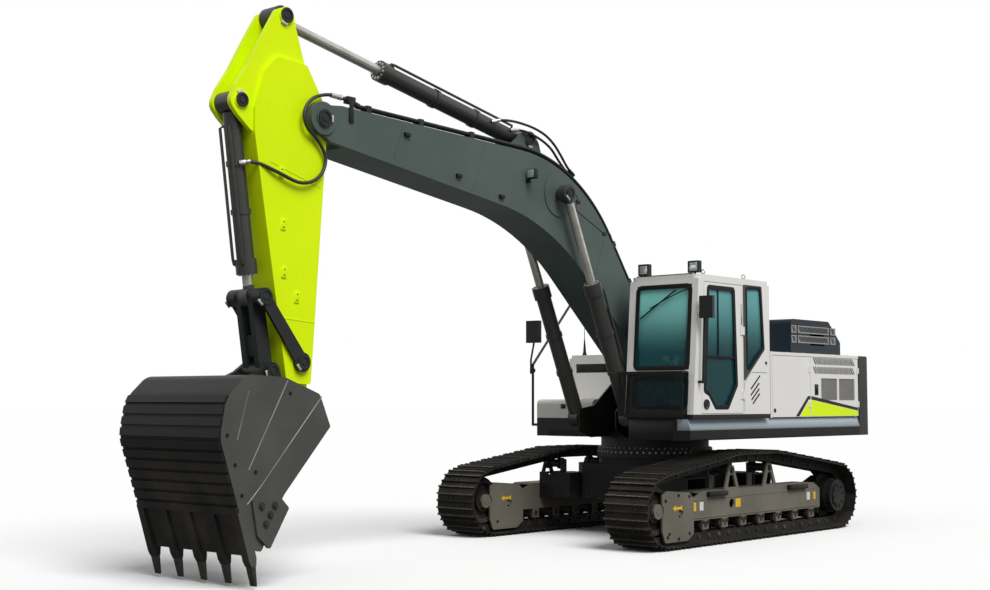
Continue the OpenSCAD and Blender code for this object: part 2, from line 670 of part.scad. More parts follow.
module mirrors() color(black) {
  // right-hand mirror, clamped to the handrail
  pipe_run([
    [stalk_x, rail_y - 60 - clamp_out, 2040], [stalk_x, rail_y - 60 - clamp_out, 2230],
    [stalk_x - 70, rail_y - 104, 2440], [stalk_x - 70, rail_y - 104, 2500]
  ], 13);
  difference() {
    block(stalk_x - 24, stalk_x + 24, rail_y - 60 - clamp_out, rail_y - 36, 2060, 2110);
    translate([stalk_x, rail_y - 60, 2000]) cylinder(h = 200, r = tube_r + 0.3);
  }
  mirror_head([stalk_x - 70, rail_y - 104, 2610], 210, 300);
  // left-hand mirror on the cab's front post
  pipe_run([
    [cab_front - 190, cab_outer_y, 2790], [cab_front - 190, cab_outer_y + 80, 2790],
    [cab_front - 108, cab_outer_y + 140, 2790]
  ], 12);
  mirror_head([cab_front - 95, cab_outer_y + 140, 2770], 170, 260);
}
module work_lamps() color(black) for (y = [cab_inner_y + 130, cab_outer_y - 130]) translate([cab_top_x - 120, y, roof_top]) {
  difference() {
    block(-30, 40, -75, 75, 25, 165);
    block(35, 60, -60, 60, 40, 150);
  }
  cylinder(h = 26, r = 14);
}

// cab panels; each as thick as the wall
cab_outer_y = half_width + 40;
cab_inner_y = cab_outer_y - cab_width;
roof_top = sill_z + cab_height;
cab_top_x = cab_front - cab_lean;
wall_low = sill_z + cab_wall;
wall_high = roof_top - cab_wall;
function front_x(z) = cab_front - cab_lean * (z - sill_z) / cab_height;
cab_side = [[-cab_rear, wall_low], [front_x(wall_low), wall_low], [front_x(wall_high), wall_high], [-cab_rear, wall_high]];
module cab_floor() color(charcoal) block(-cab_rear, cab_front, cab_inner_y, cab_outer_y, sill_z, wall_low);
module cab_roof() color(off_white) difference() {
  union() {
    translate([0, 0, wall_high]) linear_extrude(cab_wall) polygon(rounded([
      [-cab_rear, cab_inner_y, 60], [cab_top_x + 4, cab_inner_y, 90],
      [cab_top_x + 4, cab_outer_y, 90], [-cab_rear, cab_outer_y, 60]
    ]));
  }
  block(-cab_rear + 120, cab_top_x - 360, cab_inner_y + 130, cab_outer_y - 130, roof_top - 14, roof_top + 1);
}
door_front = door_rear + door_width;
door_top = wall_high - 30;
quarter_top = wall_high - 20;
quarter = [
  [door_rear - 70, quarter_top - 25], [-cab_rear + 200, quarter_top - 10],
  [-cab_rear + 140, 2330], [door_rear - 75, 2000]
];
module cab_left_wall() color(off_white) difference() {
  side(cab_outer_y - cab_wall, cab_outer_y) polygon(cab_side);
  side(cab_outer_y - cab_wall - 10, cab_outer_y + 10)
    polygon([[door_rear, wall_low + 8], [door_front, wall_low + 8], [front_x(door_top) - 120, door_top], [door_rear, door_top]]);
  side(cab_outer_y - cab_wall - 10, cab_outer_y + 10) polygon(rounded([for (p = quarter) [p[0], p[1], 50]]));
}
module cab_right_wall() color(off_white) difference() {
  side(cab_inner_y, cab_inner_y + cab_wall) polygon(cab_side);
  side(cab_inner_y - 10, cab_inner_y + cab_wall + 10) polygon(right_window(0));
}
function right_window(i) = rounded([
  [-cab_rear + 150 + i, 1950 + i, 60], [cab_front - 180 - i, 1950 + i, 60],
  [cab_top_x - 80 - i, wall_high - 70 - i, 60], [-cab_rear + 150 + i, wall_high - 70 - i, 60]
]);
module cab_rear_wall() color(off_white) difference() {
  block(-cab_rear, -cab_rear + cab_wall, cab_inner_y + cab_wall, cab_outer_y - cab_wall, wall_low, wall_high);
  block(-cab_rear - 10, -cab_rear + cab_wall + 10, cab_inner_y + 150, cab_outer_y - 150, 2350, wall_high - 90);
}
front_slab = [[front_x(wall_low) - cab_wall, wall_low], [front_x(wall_low), wall_low],
  [front_x(wall_high), wall_high], [front_x(wall_high) - cab_wall, wall_high]];
screen_y0 = cab_inner_y + 105;
screen_y1 = cab_outer_y - 85;
screen_low = 2045;
module cab_front_frame() color(off_white) difference() {
  side(cab_inner_y + cab_wall, cab_outer_y - cab_wall) polygon(front_slab);
  block(1000, 1600, screen_y0, screen_y1, screen_low, wall_high - 65);
  block(1000, 1600, screen_y0, screen_y1, wall_low + 60, screen_low - 60);
}
glass_t = 8;
glass_gap = 0.4;
module slab_glass(z0, z1) side(screen_y0 + glass_gap, screen_y1 - glass_gap)
  polygon([[front_x(z0) - 30, z0], [front_x(z0) - 30 + glass_t, z0], [front_x(z1) - 30 + glass_t, z1], [front_x(z1) - 30, z1]]);
module cab_glass() color(pane) {
  slab_glass(screen_low + glass_gap, wall_high - 65 - glass_gap);
  slab_glass(wall_low + 60 + glass_gap, screen_low - 60 - glass_gap);
  block(-cab_rear + 20, -cab_rear + 20 + glass_t, cab_inner_y + 150 + glass_gap, cab_outer_y - 150 - glass_gap, 2350 + glass_gap, wall_high - 90 - glass_gap);
  side(cab_inner_y + 20, cab_inner_y + 20 + glass_t) polygon(right_window(glass_gap));
  side(cab_outer_y - 25, cab_outer_y - 25 + glass_t) polygon(rounded([for (p = inset_quarter) [p[0], p[1], 50]]));
}
inset_quarter = [[quarter[0][0] - 0.5, quarter[0][1] - 0.5], [quarter[1][0] + 0.5, quarter[1][1] - 0.5],
  [quarter[2][0] + 0.5, quarter[2][1] + 0.6], [quarter[3][0] - 0.5, quarter[3][1] + 0.8]];
// perforated guard in front of the lower window
guard_y0 = boom_cyl_y + boom_barrel_r + 15;
module front_guard() color(black) {
  x = cab_front + 60;
  difference() {
    block(x, x + 12, guard_y0, cab_outer_y - 100, wall_low - 30, 2025);
    block(x - 5, x + 20, guard_y0 + 40, cab_outer_y - 140, wall_low + 10, 1985);
  }
  block(x + 4, x + 8, guard_y0 + 38, cab_outer_y - 138, wall_low + 8, 1987);
  for (y = [cab_inner_y + 60, cab_outer_y - 160], z = [sill_z + 15])
    translate([cab_front, y, z]) cube([62, 40, 30]);
}

// cab door, hinged on its rear edge, and its panes
door_hinge_x = door_rear - 2;
door_hinge_y = cab_outer_y + 12;
door_panel = [[door_rear + seam, wall_low + 8 + seam], [door_front - seam, wall_low + 8 + seam],
  [front_x(door_top) - 120 - seam, door_top - seam], [door_rear + seam, door_top - seam]];
window_top = wall_high - 80;
function door_window(i) = rounded([
  [door_rear + 190 - i, window_top + i, 60], [door_front - 150 + i * 0.9, window_top + i, 60],
  [door_front - 55 + i, 1790 - i * 0.6, 40], [door_front - 160 + i * 0.5, 1750 - i * 0.5, 60],
  [door_front - 300, 1590 - i, 60],
  [door_rear + 350 - i * 0.5, 1590 - i, 60], [door_rear + 140 - i, 1870, 60]
]);
module cab_door() color(off_white) {
  difference() {
    side(cab_outer_y - cab_wall, cab_outer_y) polygon(door_panel);
    side(cab_outer_y - cab_wall - 10, cab_outer_y + 10) polygon(door_window(0));
  }
  for (z = [1700, 2480]) difference() {
    union() {
      translate([door_hinge_x, door_hinge_y, z]) cylinder(h = 100, r = 11);
      block(door_rear + seam, door_rear + seam + 60, cab_outer_y - 1, cab_outer_y + 8, z, z + 100);
      block(door_hinge_x, door_rear + seam + 20, door_hinge_y - 4, door_hinge_y + 4, z, z + 100);
      block(door_rear + seam + 10, door_rear + seam + 20, cab_outer_y - 1, door_hinge_y + 4, z, z + 100);
    }
  }
}
module door_glass() color(pane) side(cab_outer_y - 28, cab_outer_y - 28 + glass_t) polygon(door_window(-0.5));

// operator's place
module seat() color(black) {
  block(150, 620, cab_inner_y + 260, cab_inner_y + 740, 1860, 1980);
  side(cab_inner_y + 270, cab_inner_y + 730) polygon(rounded([
    [90, 1900, 30], [230, 1900, 30], [140, 2560, 50], [20, 2560, 50]
  ]));
  block(60, 110, cab_inner_y + 370, cab_inner_y + 630, 2555, 2760);
  block(230, 540, cab_inner_y + 330, cab_inner_y + 670, wall_low, 1865);
}
module controls() color(charcoal) {
  for (y = [cab_inner_y + 120, cab_inner_y + 770]) {
    block(250, 720, y, y + 110, wall_low, 2080);
    translate([660, y + 55, 2079]) cylinder(h = 140, r = 18);
    translate([660, y + 55, 2210]) sphere(r = 34);
  }
  for (y = [cab_inner_y + 420, cab_inner_y + 540]) {
    block(1010, 1060, y, y + 70, wall_low, 1600);
    translate([1035, y + 35, 1590]) cylinder(h = 420, r = 12);
  }
}

// boom: two side plates, top and bottom plates, foot and tip bosses
foot_r = 190;
tip_r = 165;
elbow_top = boom_length * [0.41261, 0.25541];
elbow_low = boom_length * [0.44242, 0.11406];
elbow_r = boom_length * 0.33731;
belly_r = boom_length * 0.47066;
top_start = [120, 145];
top_end = [boom_length - 170, 248];
boom_outline = [
  [top_start[0], top_start[1], 30], [elbow_top[0], elbow_top[1], elbow_r], [top_end[0], top_end[1], 60],
  [boom_length + 60, 120, 60], [boom_length + 40, -130, 60], [boom_length - 180, -160, 60],
  [elbow_low[0], elbow_low[1], belly_r], [90, -180, 30]
];
function inner_boom(t) = [
  [260, 215 - t, 10], [elbow_top[0] + 4, elbow_top[1] - t * 1.12, elbow_r],
  [boom_length - fork_depth - plate, 326 - t * 1.1, 10],
  [boom_length - fork_depth - plate, -98 + t * 1.1, 10], [elbow_low[0], elbow_low[1] + t * 1.05, belly_r],
  [260, -115 + t, 10]
];
fork_half = arm_half + 4;
fork_depth = 385;
ring_plate = 12;
lug_in = arm_barrel_r + 16;
lug_out = lug_in + 45;
module boom() color(mid_grey) {
  difference() {
    union() {
      in_boom() side(-boom_half, boom_half) polygon(rounded(boom_outline, 14));
      bar_y(boom_foot, foot_r, -boom_half - 2, boom_half + 2);
      bar_y(boom_tip, tip_r, -boom_half - 20, boom_half + 20);
    }
    in_boom() side(-boom_half + plate + 8, boom_half - plate - 8) polygon(rounded(inner_boom(plate), 14));
    // fork that takes the arm
    in_boom() block(boom_length - fork_depth, boom_length + 400, -fork_half, fork_half, -900, 700);
    bar_y(boom_foot, 62.5, -600, 600);
    bar_y(boom_tip, 60, -boom_half - 10, boom_half + 10);
  }
  // ring plates at the boom cylinders
  both_sides() in_boom() bar_y(boom_eye, 265, boom_half - 1, boom_half + ring_plate);
  // lugs of the arm cylinder
  both_sides() in_boom() {
    side(lug_in, lug_out) polygon(rounded([
      [arm_foot[0] - 420, arm_foot[1] - 223, 20], [arm_foot[0] + 330, arm_foot[1] - 363, 20],
      [arm_foot[0] + 130, arm_foot[1] + 40, 100], [arm_foot[0] - 20, arm_foot[1] + 130, 90],
      [arm_foot[0] - 170, arm_foot[1] + 50, 100]
    ]));
    bar_y(arm_foot, 80, lug_out - 1, lug_out + 16);
  }
  // tip pin caps
  both_sides() bar_y(boom_tip, 95, boom_half + 19, boom_half + 34);
}
// pipes along the top of the boom, held by clamp blocks
pipe_r = 19;
pipe_lift = 44;
pipe_y = [200, 246];
top_in = heading(top_start, elbow_top);
top_out = heading(elbow_top, top_end);
elbow_reach = elbow_r * tan((top_in - top_out) / 2);
elbow_mid = elbow_top - polar(elbow_reach, top_in) + polar(elbow_r, top_in - 90);
function on_rise(d, h) = top_start + polar(d, top_in) + polar(h, top_in + 90);
function on_fall(d, h) = top_end - polar(d, top_out) + polar(h, top_out + 90);
module pipe_bend(y) translate([elbow_mid[0], y, elbow_mid[1]]) rotate([90, 0, 0]) rotate(top_out + 90)
  rotate_extrude(angle = top_in - top_out) translate([elbow_r + pipe_lift, 0]) circle(r = pipe_r);
module pipe_leg(p, q, y, r) rod_between([p[0], y, p[1]], [q[0], y, q[1]], r);
// sleeve over the joint of a leg and the bend
sleeve_half = 25;
sleeve_wall = 3;
module pipe_sleeve(p, a, y) pipe_leg(p - polar(sleeve_half, a), p + polar(sleeve_half, a), y, pipe_r + sleeve_wall);
bend_in = elbow_mid + polar(elbow_r + pipe_lift, top_in + 90);
bend_out = elbow_mid + polar(elbow_r + pipe_lift, top_out + 90);
module pipe_clamp(p, a) translate([p[0], 0, p[1]]) rotate([0, -a, 0])
  block(-32, 32, pipe_y[0] - 30, pipe_y[1] + 22, gap, pipe_lift + pipe_r + 8);
module boom_pipes() color(charcoal) in_boom() both_sides() {
  for (y = pipe_y) {
    pipe_leg(on_rise(520, pipe_lift), bend_in, y, pipe_r);
    pipe_sleeve(bend_in, top_in, y);
    pipe_bend(y);
    pipe_sleeve(bend_out, top_out, y);
    pipe_leg(bend_out, on_fall(250, pipe_lift), y, pipe_r);
  }
  for (d = [650, 1200, 1750]) pipe_clamp(on_rise(d, 0), top_in);
  for (d = [380, 1150, 1950]) pipe_clamp(on_fall(d, 0), top_out);
}

// hydraulic cylinders: barrel hollow with room for the rod
module barrel(len, r, eye_r, pin_r, half, start) {
  difference() {
    union() {
      rotate([0, 90, 0]) translate([0, 0, 100]) cylinder(h = len - 100, r = r);
      translate([len - 150, 0, 0]) rotate([0, 90, 0]) cylinder(h = 150, r = r + 8);
      bar_y([0, 0], eye_r, -half, half);
    }
    bar_y([0, 0], pin_r + 0.4, -600, 600);
    translate([start, 0, 0]) rotate([0, 90, 0]) cylinder(h = len, r = rod_r + 0.4);
    translate([start, 0, 0]) rotate([0, 90, 0]) cylinder(h = len - start - 160, r = r - 16);
  }
}
module rod(tail, len, eye_r, half) {
  translate([tail, 0, 0]) rotate([0, 90, 0]) cylinder(h = len - tail, r = rod_r);
  bar_y([len, 0], eye_r, -half, half);
}
boom_eye_at = on_boom(boom_eye);
arm_foot_at = on_boom(arm_foot);
arm_eye_at = on_arm(arm_eye);
bucket_foot_at = on_arm(bucket_foot);
boom_cyl_len = norm(boom_eye_at - boom_cyl_foot);
arm_cyl_len = norm(arm_eye_at - arm_foot_at);
bucket_cyl_len = norm(link_pin - bucket_foot_at);
module boom_barrels() color(charcoal) for (s = [-1, 1]) translate([0, s * boom_cyl_y, 0])
  along(boom_cyl_foot, boom_eye_at) barrel(boom_cyl_len * 0.61, boom_barrel_r, 112, 58, cyl_eye_half, 200);
module boom_rods() color(steel) for (s = [-1, 1]) {
  translate([0, s * boom_cyl_y, 0]) along(boom_cyl_foot, boom_eye_at) {
    rod(boom_cyl_len * 0.416, boom_cyl_len, 105, 50);
  }
  mirror([0, s > 0 ? 0 : 1, 0]) bar_y(boom_eye_at, 72, boom_half + ring_plate + gap, boom_cyl_y + 62);
}
module arm_barrel() color(charcoal) along(arm_foot_at, arm_eye_at) barrel(arm_cyl_len * 0.62, arm_barrel_r, 115, 56, lug_in - 2, 210);
module arm_rod() color(steel) along(arm_foot_at, arm_eye_at) rod(arm_cyl_len * 0.386, arm_cyl_len, 112, ear_in - 4);
module bucket_barrel() color(charcoal) along(bucket_foot_at, link_pin) barrel(bucket_cyl_len - 222, bucket_barrel_r, 105, 50, ear_in - 2, 190);
module bucket_rod() color(steel) along(bucket_foot_at, link_pin) rod(232, bucket_cyl_len, 95, 54);

// arm: hollow box with ears above and lugs in front
module arm_box_outline() polygon(rounded([
  [-500, 185, 30], [-210, -35, 60], [160, -128, 150], [arm_length - 220, -135, 40],
  [arm_length - 220, 172, 10], [310, 770, 150], [60, 790, 60], [-330, 705, 60], [-500, 560, 60]
], 8));
module arm_ear_outline() polygon(rounded([
  [-1040, 395, 90], [-980, 585, 100], [-650, 745, 60], [-340, 885, 80], [-120, 1010, 60],
  [60, 1075, 100], [165, 960, 90], [300, 765, 80], [160, 500, 50], [-300, 120, 60],
  [-500, 185, 60], [-840, 330, 80]
], 6));
ear_in = 112;
ear_out = 166;
tip_half = 150;
module arm() color(lime) {
  difference() {
    union() {
      in_arm() side(-arm_half, arm_half) arm_box_outline();
      in_arm() both_sides() side(ear_in, ear_out) arm_ear_outline();
      bar_y(boom_tip, 190, -arm_half - 2, arm_half + 2);
      in_arm() side(-tip_half + 4, tip_half - 4) polygon([[arm_length - 260, -133], [arm_length - 30, -118],
        [arm_length + 20, 105], [arm_length - 260, 186]]);
      bar_y(bucket_pin, 125, -tip_half, tip_half);
    }
    in_arm() side(-arm_half + plate, arm_half - plate) polygon(rounded([
      [-240, 150, 20], [210, -110, 60], [arm_length - 520, -118, 10], [arm_length - 520, 190, 10], [330, 735, 100], [-240, 690, 30]
    ]));
    bar_y(bucket_pin, 50.4, -600, 600);
    // room for the bucket cylinder's foot between the lugs
    in_arm() block(-330, 330, -ear_in, ear_in, 800, 1300);
    in_arm() bar_y(bucket_foot, 150, -ear_in, ear_in);
    // room for the arm cylinder's eye between the ears
    in_arm() bar_y(arm_eye, 450, -ear_in, ear_in);
  }
  both_sides() in_arm() {
    bar_y(bucket_foot, 80, ear_out - 1, ear_out + 14);
    bar_y(arm_eye, 85, ear_out - 1, ear_out + 16);
  }
  in_arm() bar_y(rocker_foot, 48, -arm_half - 52, arm_half + 52);
  bar_y(boom_tip, 60 - gap, -boom_half, boom_half);
}

// bucket linkage: rockers outside the arm, link between
rocker_in = arm_half + 6;
rocker_out = rocker_in + 40;
module rockers() color(charcoal) both_sides() difference() {
  union() {
    along(rocker_at, link_pin) {
      side(rocker_in + 4, rocker_out - 4) polygon([[0, -70], [rocker_length, -62], [rocker_length, 62], [0, 70]]);
    }
    bar_y(rocker_at, 95, rocker_in, rocker_out);
    bar_y(link_pin, 85, 128, rocker_out);
  }
  bar_y(rocker_at, 48.4, 0, 600);
}
link_half_w = 126;
module h_link() color(charcoal) difference() {
  union() {
    both_sides() along(link_pin, ear_at) side(58, link_half_w) polygon(rounded([
      [-85, -70, 60], [link_length + 80, -80, 60], [link_length + 80, 80, 60], [-85, 70, 60]
    ]));
    along(link_pin, ear_at) block(360, 560, -link_half_w, link_half_w, -55, 55);
    bar_y(ear_at, 92, -tip_half, tip_half);
  }
  bar_y(ear_at, 50.4, -600, 600);
}

// bucket: side plates, wrapper with wear bars, ears, lip
lip_end = [1610, 250];
tooth_tip = [bucket_reach, 0];
bucket_side = rounded([
  [204, -20, 20], [1019, 150, 300], [1560, 118, 30], [lip_end[0], lip_end[1], 20], [930, 1040, 250],
  [600, 1165, 300], [300, 1075, 180], [95, 690, 200], [12, 250, 60]
]);
wrap = rounded([
  [lip_end[0], lip_end[1]], [930, 1040, 250], [600, 1165, 300], [300, 1075, 180], [95, 690, 200], [12, 250, 60], [110, 110]
], 8);
function path_normals(p) = [
  for (i = [0 : len(p) - 1])
    outward(p[min(i + 1, len(p) - 1)] - p[max(i - 1, 0)])
];
wrap_n = path_normals(wrap);
wrap_t = 22;
function shifted(d) = [for (i = [0 : len(wrap) - 1]) wrap[i] + wrap_n[i] * d];
function reversed(p) = [for (i = [len(p) - 1 : -1 : 0]) p[i]];
ear0 = tip_half + 3;
ear1 = ear0 + 50;
bar_step = 102;
module bucket_shell() color(charcoal) {
  in_bucket() {
    side(-bucket_half, bucket_half) polygon(concat(wrap, reversed(shifted(-wrap_t))));
    both_sides() side(bucket_half - 25, bucket_half) polygon(bucket_side);
    both_sides() side(ear0, ear1) polygon(rounded([
      [-120, -40, 90], [60, -150, 100], [260, 60, 60], [130, 720, 80],
      [-40, 590, 60], [-235, 500, 90], [-190, 400, 60], [-80, 280, 40]
    ]));
    side(-bucket_half, bucket_half) polygon([
      [lip_end[0] + 40, lip_end[1] - 40], [lip_end[0] - 8, lip_end[1] + 6], [lip_end[0] - 330, lip_end[1] + 377],
      [lip_end[0] - 365, lip_end[1] + 347], [lip_end[0] + 4, lip_end[1] - 77]
    ]);
    // wear bars on the back
    for (k = [0 : wear_bars - 1]) wear_bar(330 + k * bar_step);
    // adapters welded on the lip
    for (k = [0 : tooth_count - 1]) side(tooth_y(k) - 48, tooth_y(k) + 48) polygon([
      [lip_end[0] - 220, lip_end[1] + 285], [lip_end[0] - 250, lip_end[1] + 190],
      [lip_end[0] + 20, lip_end[1] - 110], [lip_end[0] + 84, lip_end[1] - 144],
      [lip_end[0] + 116, lip_end[1] - 108], [lip_end[0] + 90, lip_end[1] - 60]
    ]);
  }
  both_sides() {
    bar_y(bucket_pin, 78, ear1 - 1, ear1 + 16);
    bar_y(ear_at, 78, ear1 - 1, ear1 + 16);
  }
  bar_y(bucket_pin, 50, -ear0 - 1, ear0 + 1);
  bar_y(ear_at, 50, -ear0 - 1, ear0 + 1);
}
function run_of(p) = [for (i = 0, s = 0; i < len(p); s = s + (i < len(p) - 1 ? norm(p[i + 1] - p[i]) : 0), i = i + 1) s];
wrap_run = run_of(wrap);
function wrap_find(s, i = 0) = i >= len(wrap) - 2 || wrap_run[i + 1] >= s ? i : wrap_find(s, i + 1);
function wrap_at(s) = let (i = wrap_find(s), f = (s - wrap_run[i]) / (wrap_run[i + 1] - wrap_run[i]))
  wrap[i] * (1 - f) + wrap[i + 1] * f;
module wear_bar(s) {
  a = wrap_at(s);
  b = wrap_at(s + bar_step * 0.72);
  n = outward(b - a);
  side(-bucket_half + 10, bucket_half - 10) polygon([a - n * 14, b - n * 14, b + n * 20, a + n * 20]);
}
function tooth_y(k) = (bucket_half - 45) * (2 * k / (tooth_count - 1) - 1);
module bucket_teeth() color(steel) in_bucket() for (k = [0 : tooth_count - 1])
  side(tooth_y(k) - 40, tooth_y(k) + 40) polygon([
    [lip_end[0] + 84, lip_end[1] - 144], [lip_end[0] + 116, lip_end[1] - 108],
    [tooth_tip[0], tooth_tip[1] + 10], [tooth_tip[0] - 10, tooth_tip[1]]
  ]);
module side_cutters() color(mid_grey) in_bucket() both_sides() side(bucket_half, bucket_half + 30) polygon(rounded([
  [1225, 470, 20], [1040, 250, 60], [1090, 56, 20], [1510, 64, 20], [1470, 250, 30]
]));

carbody();
slew_ring();
track_frame_left();
track_frame_right();
track_left();
track_right();
idlers();
sprockets();
track_rollers();
carrier_rollers();
revolving_frame();
counterweight();
engine_block();
body_cover();
service_door_front();
service_door_rear();
pump_door();
engine_hood();
fuel_tank();
tool_box();
tool_box_lid();
handrails();
mirrors();
work_lamps();
cab_floor();
cab_roof();
cab_front_frame();
cab_rear_wall();
cab_right_wall();
cab_left_wall();
cab_glass();
front_guard();
cab_door();
door_glass();
seat();
controls();
boom();
boom_pipes();
boom_barrels();
boom_rods();
arm_barrel();
arm_rod();
arm();
bucket_barrel();
bucket_rod();
rockers();
h_link();
bucket_shell();
bucket_teeth();
side_cutters();
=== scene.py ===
"""Crawler excavator: finishes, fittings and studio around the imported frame."""

import logging
import math
from dataclasses import dataclass, field
from enum import Enum
from typing import Dict, Iterable, List, Optional, Sequence, Tuple, Union

import bmesh
import bpy
from bpy.types import Material, Mesh, Node, NodeSocket, NodeTree, Object
from mathutils import Matrix, Vector


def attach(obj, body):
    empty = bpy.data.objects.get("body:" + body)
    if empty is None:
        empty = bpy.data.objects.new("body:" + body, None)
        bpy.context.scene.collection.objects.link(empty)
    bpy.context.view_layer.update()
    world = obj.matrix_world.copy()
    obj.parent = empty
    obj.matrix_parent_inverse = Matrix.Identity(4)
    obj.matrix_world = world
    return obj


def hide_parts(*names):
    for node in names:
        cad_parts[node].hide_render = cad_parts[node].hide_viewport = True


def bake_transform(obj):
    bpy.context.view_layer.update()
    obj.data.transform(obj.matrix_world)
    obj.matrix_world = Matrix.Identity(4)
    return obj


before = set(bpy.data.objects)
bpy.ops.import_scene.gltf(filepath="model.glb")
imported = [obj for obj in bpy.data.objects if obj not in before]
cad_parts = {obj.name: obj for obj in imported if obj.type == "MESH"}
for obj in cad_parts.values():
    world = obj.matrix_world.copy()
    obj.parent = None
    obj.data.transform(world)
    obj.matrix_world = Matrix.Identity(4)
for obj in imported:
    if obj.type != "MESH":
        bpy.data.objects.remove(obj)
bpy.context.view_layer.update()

log = logging.getLogger("excavator")
RGB = Tuple[float, float, float]
Point = Tuple[float, float, float]
Flat = Tuple[float, float]
Number = Union[int, float]


def vec(*parts: float) -> Vector:
    """Vector of two or three numbers."""
    return Vector(parts)


X, Y, Z = vec(1, 0, 0), vec(0, 1, 0), vec(0, 0, 1)
SIDES = (1, -1)


class Slot(Enum):
    """Material slots of the record, named by the added pieces."""

    LIME = "lime_paint"
    GREY = "grey_paint"
    CHARCOAL = "charcoal_paint"
    BLACK = "black_paint"
    TRACK = "track_steel"
    BRIGHT = "bright_steel"
    GLASS = "glass"
    CLOTH = "seat_cloth"
    PLASTIC = "plastic"


class Term:
    """A shader socket that takes part in Python arithmetic."""

    def __init__(self, bench: "Bench", socket: NodeSocket) -> None:
        """Keeps the socket and the bench that adds nodes to its tree."""
        self.bench = bench
        self.socket = socket

    def _math(self, operation: str, a: "Operand", b: "Operand" = 0.0) -> "Term":
        """Adds a Math node.

        Args:
            operation: Name of the Math node's operation.
            a: First value or term.
            b: Second value or term.

        Returns:
            The node's output.
        """
        return self.bench.node("ShaderNodeMath", {"operation": operation}, {0: a, 1: b})

    def __add__(self, other: "Operand") -> "Term":
        """Sum."""
        return self._math("ADD", self, other)

    __radd__ = __add__

    def __sub__(self, other: "Operand") -> "Term":
        """Difference."""
        return self._math("SUBTRACT", self, other)

    def __rsub__(self, other: Number) -> "Term":
        """Reflected difference."""
        return self._math("SUBTRACT", other, self)

    def __mul__(self, other: "Operand") -> "Term":
        """Product."""
        return self._math("MULTIPLY", self, other)

    __rmul__ = __mul__

    def __abs__(self) -> "Term":
        """Absolute value."""
        return self._math("ABSOLUTE", self)

    def larger(self, other: "Operand") -> "Term":
        """The larger of two values."""
        return self._math("MAXIMUM", self, other)

    def smaller(self, other: "Operand") -> "Term":
        """The smaller of two values."""
        return self._math("MINIMUM", self, other)

    def root(self) -> "Term":
        """Square root."""
        return self._math("SQRT", self)

    def wave(self) -> "Term":
        """Sine."""
        return self._math("SINE", self)

    def rise(self, low: float, high: float) -> "Term":
        """Smooth step from 0 at low to 1 at high.

        Args:
            low: Value at which the result is 0.
            high: Value at which the result is 1.

        Returns:
            The step.
        """
        return self.bench.node(
            "ShaderNodeMapRange",
            {"interpolation_type": "SMOOTHSTEP", "clamp": True},
            {"Value": self, "From Min": low, "From Max": high},
        )


Operand = Union[Term, Number]
# Colour sockets of the Mix node, and the spread of a noise about its middle
MIX_A, MIX_B, MIX_OUT = 6, 7, 2
SPREAD = (0.3, 0.7)


class Bench:
    """Builds one material's node tree."""

    def __init__(self, name: str) -> None:
        """Starts an empty node material.

        Args:
            name: Name of the material.
        """
        self.material = bpy.data.materials.new(name)
        self.material.use_nodes = True
        self.tree = self.material.node_tree
        self.tree.nodes.clear()

    def node(self, kind: str, settings: dict, sockets: dict, out: Union[int, str] = 0) -> Term:
        """Adds a node.

        Args:
            kind: Node type.
            settings: Properties that are set first.
            sockets: Values or terms by socket name or number.
            out: Output that is returned.

        Returns:
            The chosen output.
        """
        made = self.tree.nodes.new(kind)
        for key, value in settings.items():
            setattr(made, key, value)
        for key, value in sockets.items():
            if isinstance(value, Term):
                self.tree.links.new(value.socket, made.inputs[key])
            else:
                made.inputs[key].default_value = value
        return Term(self, made.outputs[out])

    def place(self) -> Term:
        """Object coordinates."""
        return self.node("ShaderNodeTexCoord", {}, {}, "Object")

    def axes(self) -> Tuple[Term, Term, Term]:
        """Object coordinates as three terms."""
        where = self.place()
        return tuple(self.node("ShaderNodeSeparateXYZ", {}, {0: where}, k) for k in range(3))

    def noise(self, scale: float, detail: float, stretch: Optional[Point] = None) -> Term:
        """Noise on object coordinates.

        Args:
            scale: Cells per metre.
            detail: Octaves.
            stretch: Scale along each axis first, if any.

        Returns:
            The noise, about 0.5.
        """
        where = self.place()
        if stretch:
            where = self.node("ShaderNodeMapping", {}, {"Vector": where, "Scale": stretch})
        sockets = {"Vector": where, "Scale": scale, "Detail": detail}
        return self.node("ShaderNodeTexNoise", {}, sockets)

    def mix(self, a: Union[Term, RGB], b: Union[Term, RGB], share: Operand) -> Term:
        """Blends two colours.

        Args:
            a: Colour at share 0.
            b: Colour at share 1.
            share: Blend.

        Returns:
            The blended colour.
        """
        a, b = (end if isinstance(end, Term) else (*end, 1.0) for end in (a, b))
        sockets = {MIX_A: a, MIX_B: b, 0: share}
        return self.node("ShaderNodeMix", {"data_type": "RGBA"}, sockets, MIX_OUT)

    def bump(self, height: Term, strength: float, depth: float) -> Term:
        """Normal bent by a height.

        Args:
            height: Height term.
            strength: Strength of the bend.
            depth: Depth in metres.

        Returns:
            The normal.
        """
        sockets = {"Strength": strength, "Distance": depth, "Height": height}
        return self.node("ShaderNodeBump", {}, sockets)

    def surface(self, sockets: dict) -> Material:
        """Closes the tree with a Principled shader.

        Args:
            sockets: Values or terms of the shader.

        Returns:
            The material.
        """
        shader = self.node("ShaderNodeBsdfPrincipled", {}, sockets)
        self.node_out(shader)
        return self.material

    def node_out(self, shader: Term) -> None:
        """Links a shader to the material's output."""
        end = self.tree.nodes.new("ShaderNodeOutputMaterial")
        self.tree.links.new(shader.socket, end.inputs[0])


def tint(colour: RGB, factor: float) -> RGB:
    """Colour made lighter or darker by a factor."""
    return tuple(min(1.0, c * factor) for c in colour)


DUST: RGB = (0.20, 0.165, 0.115)


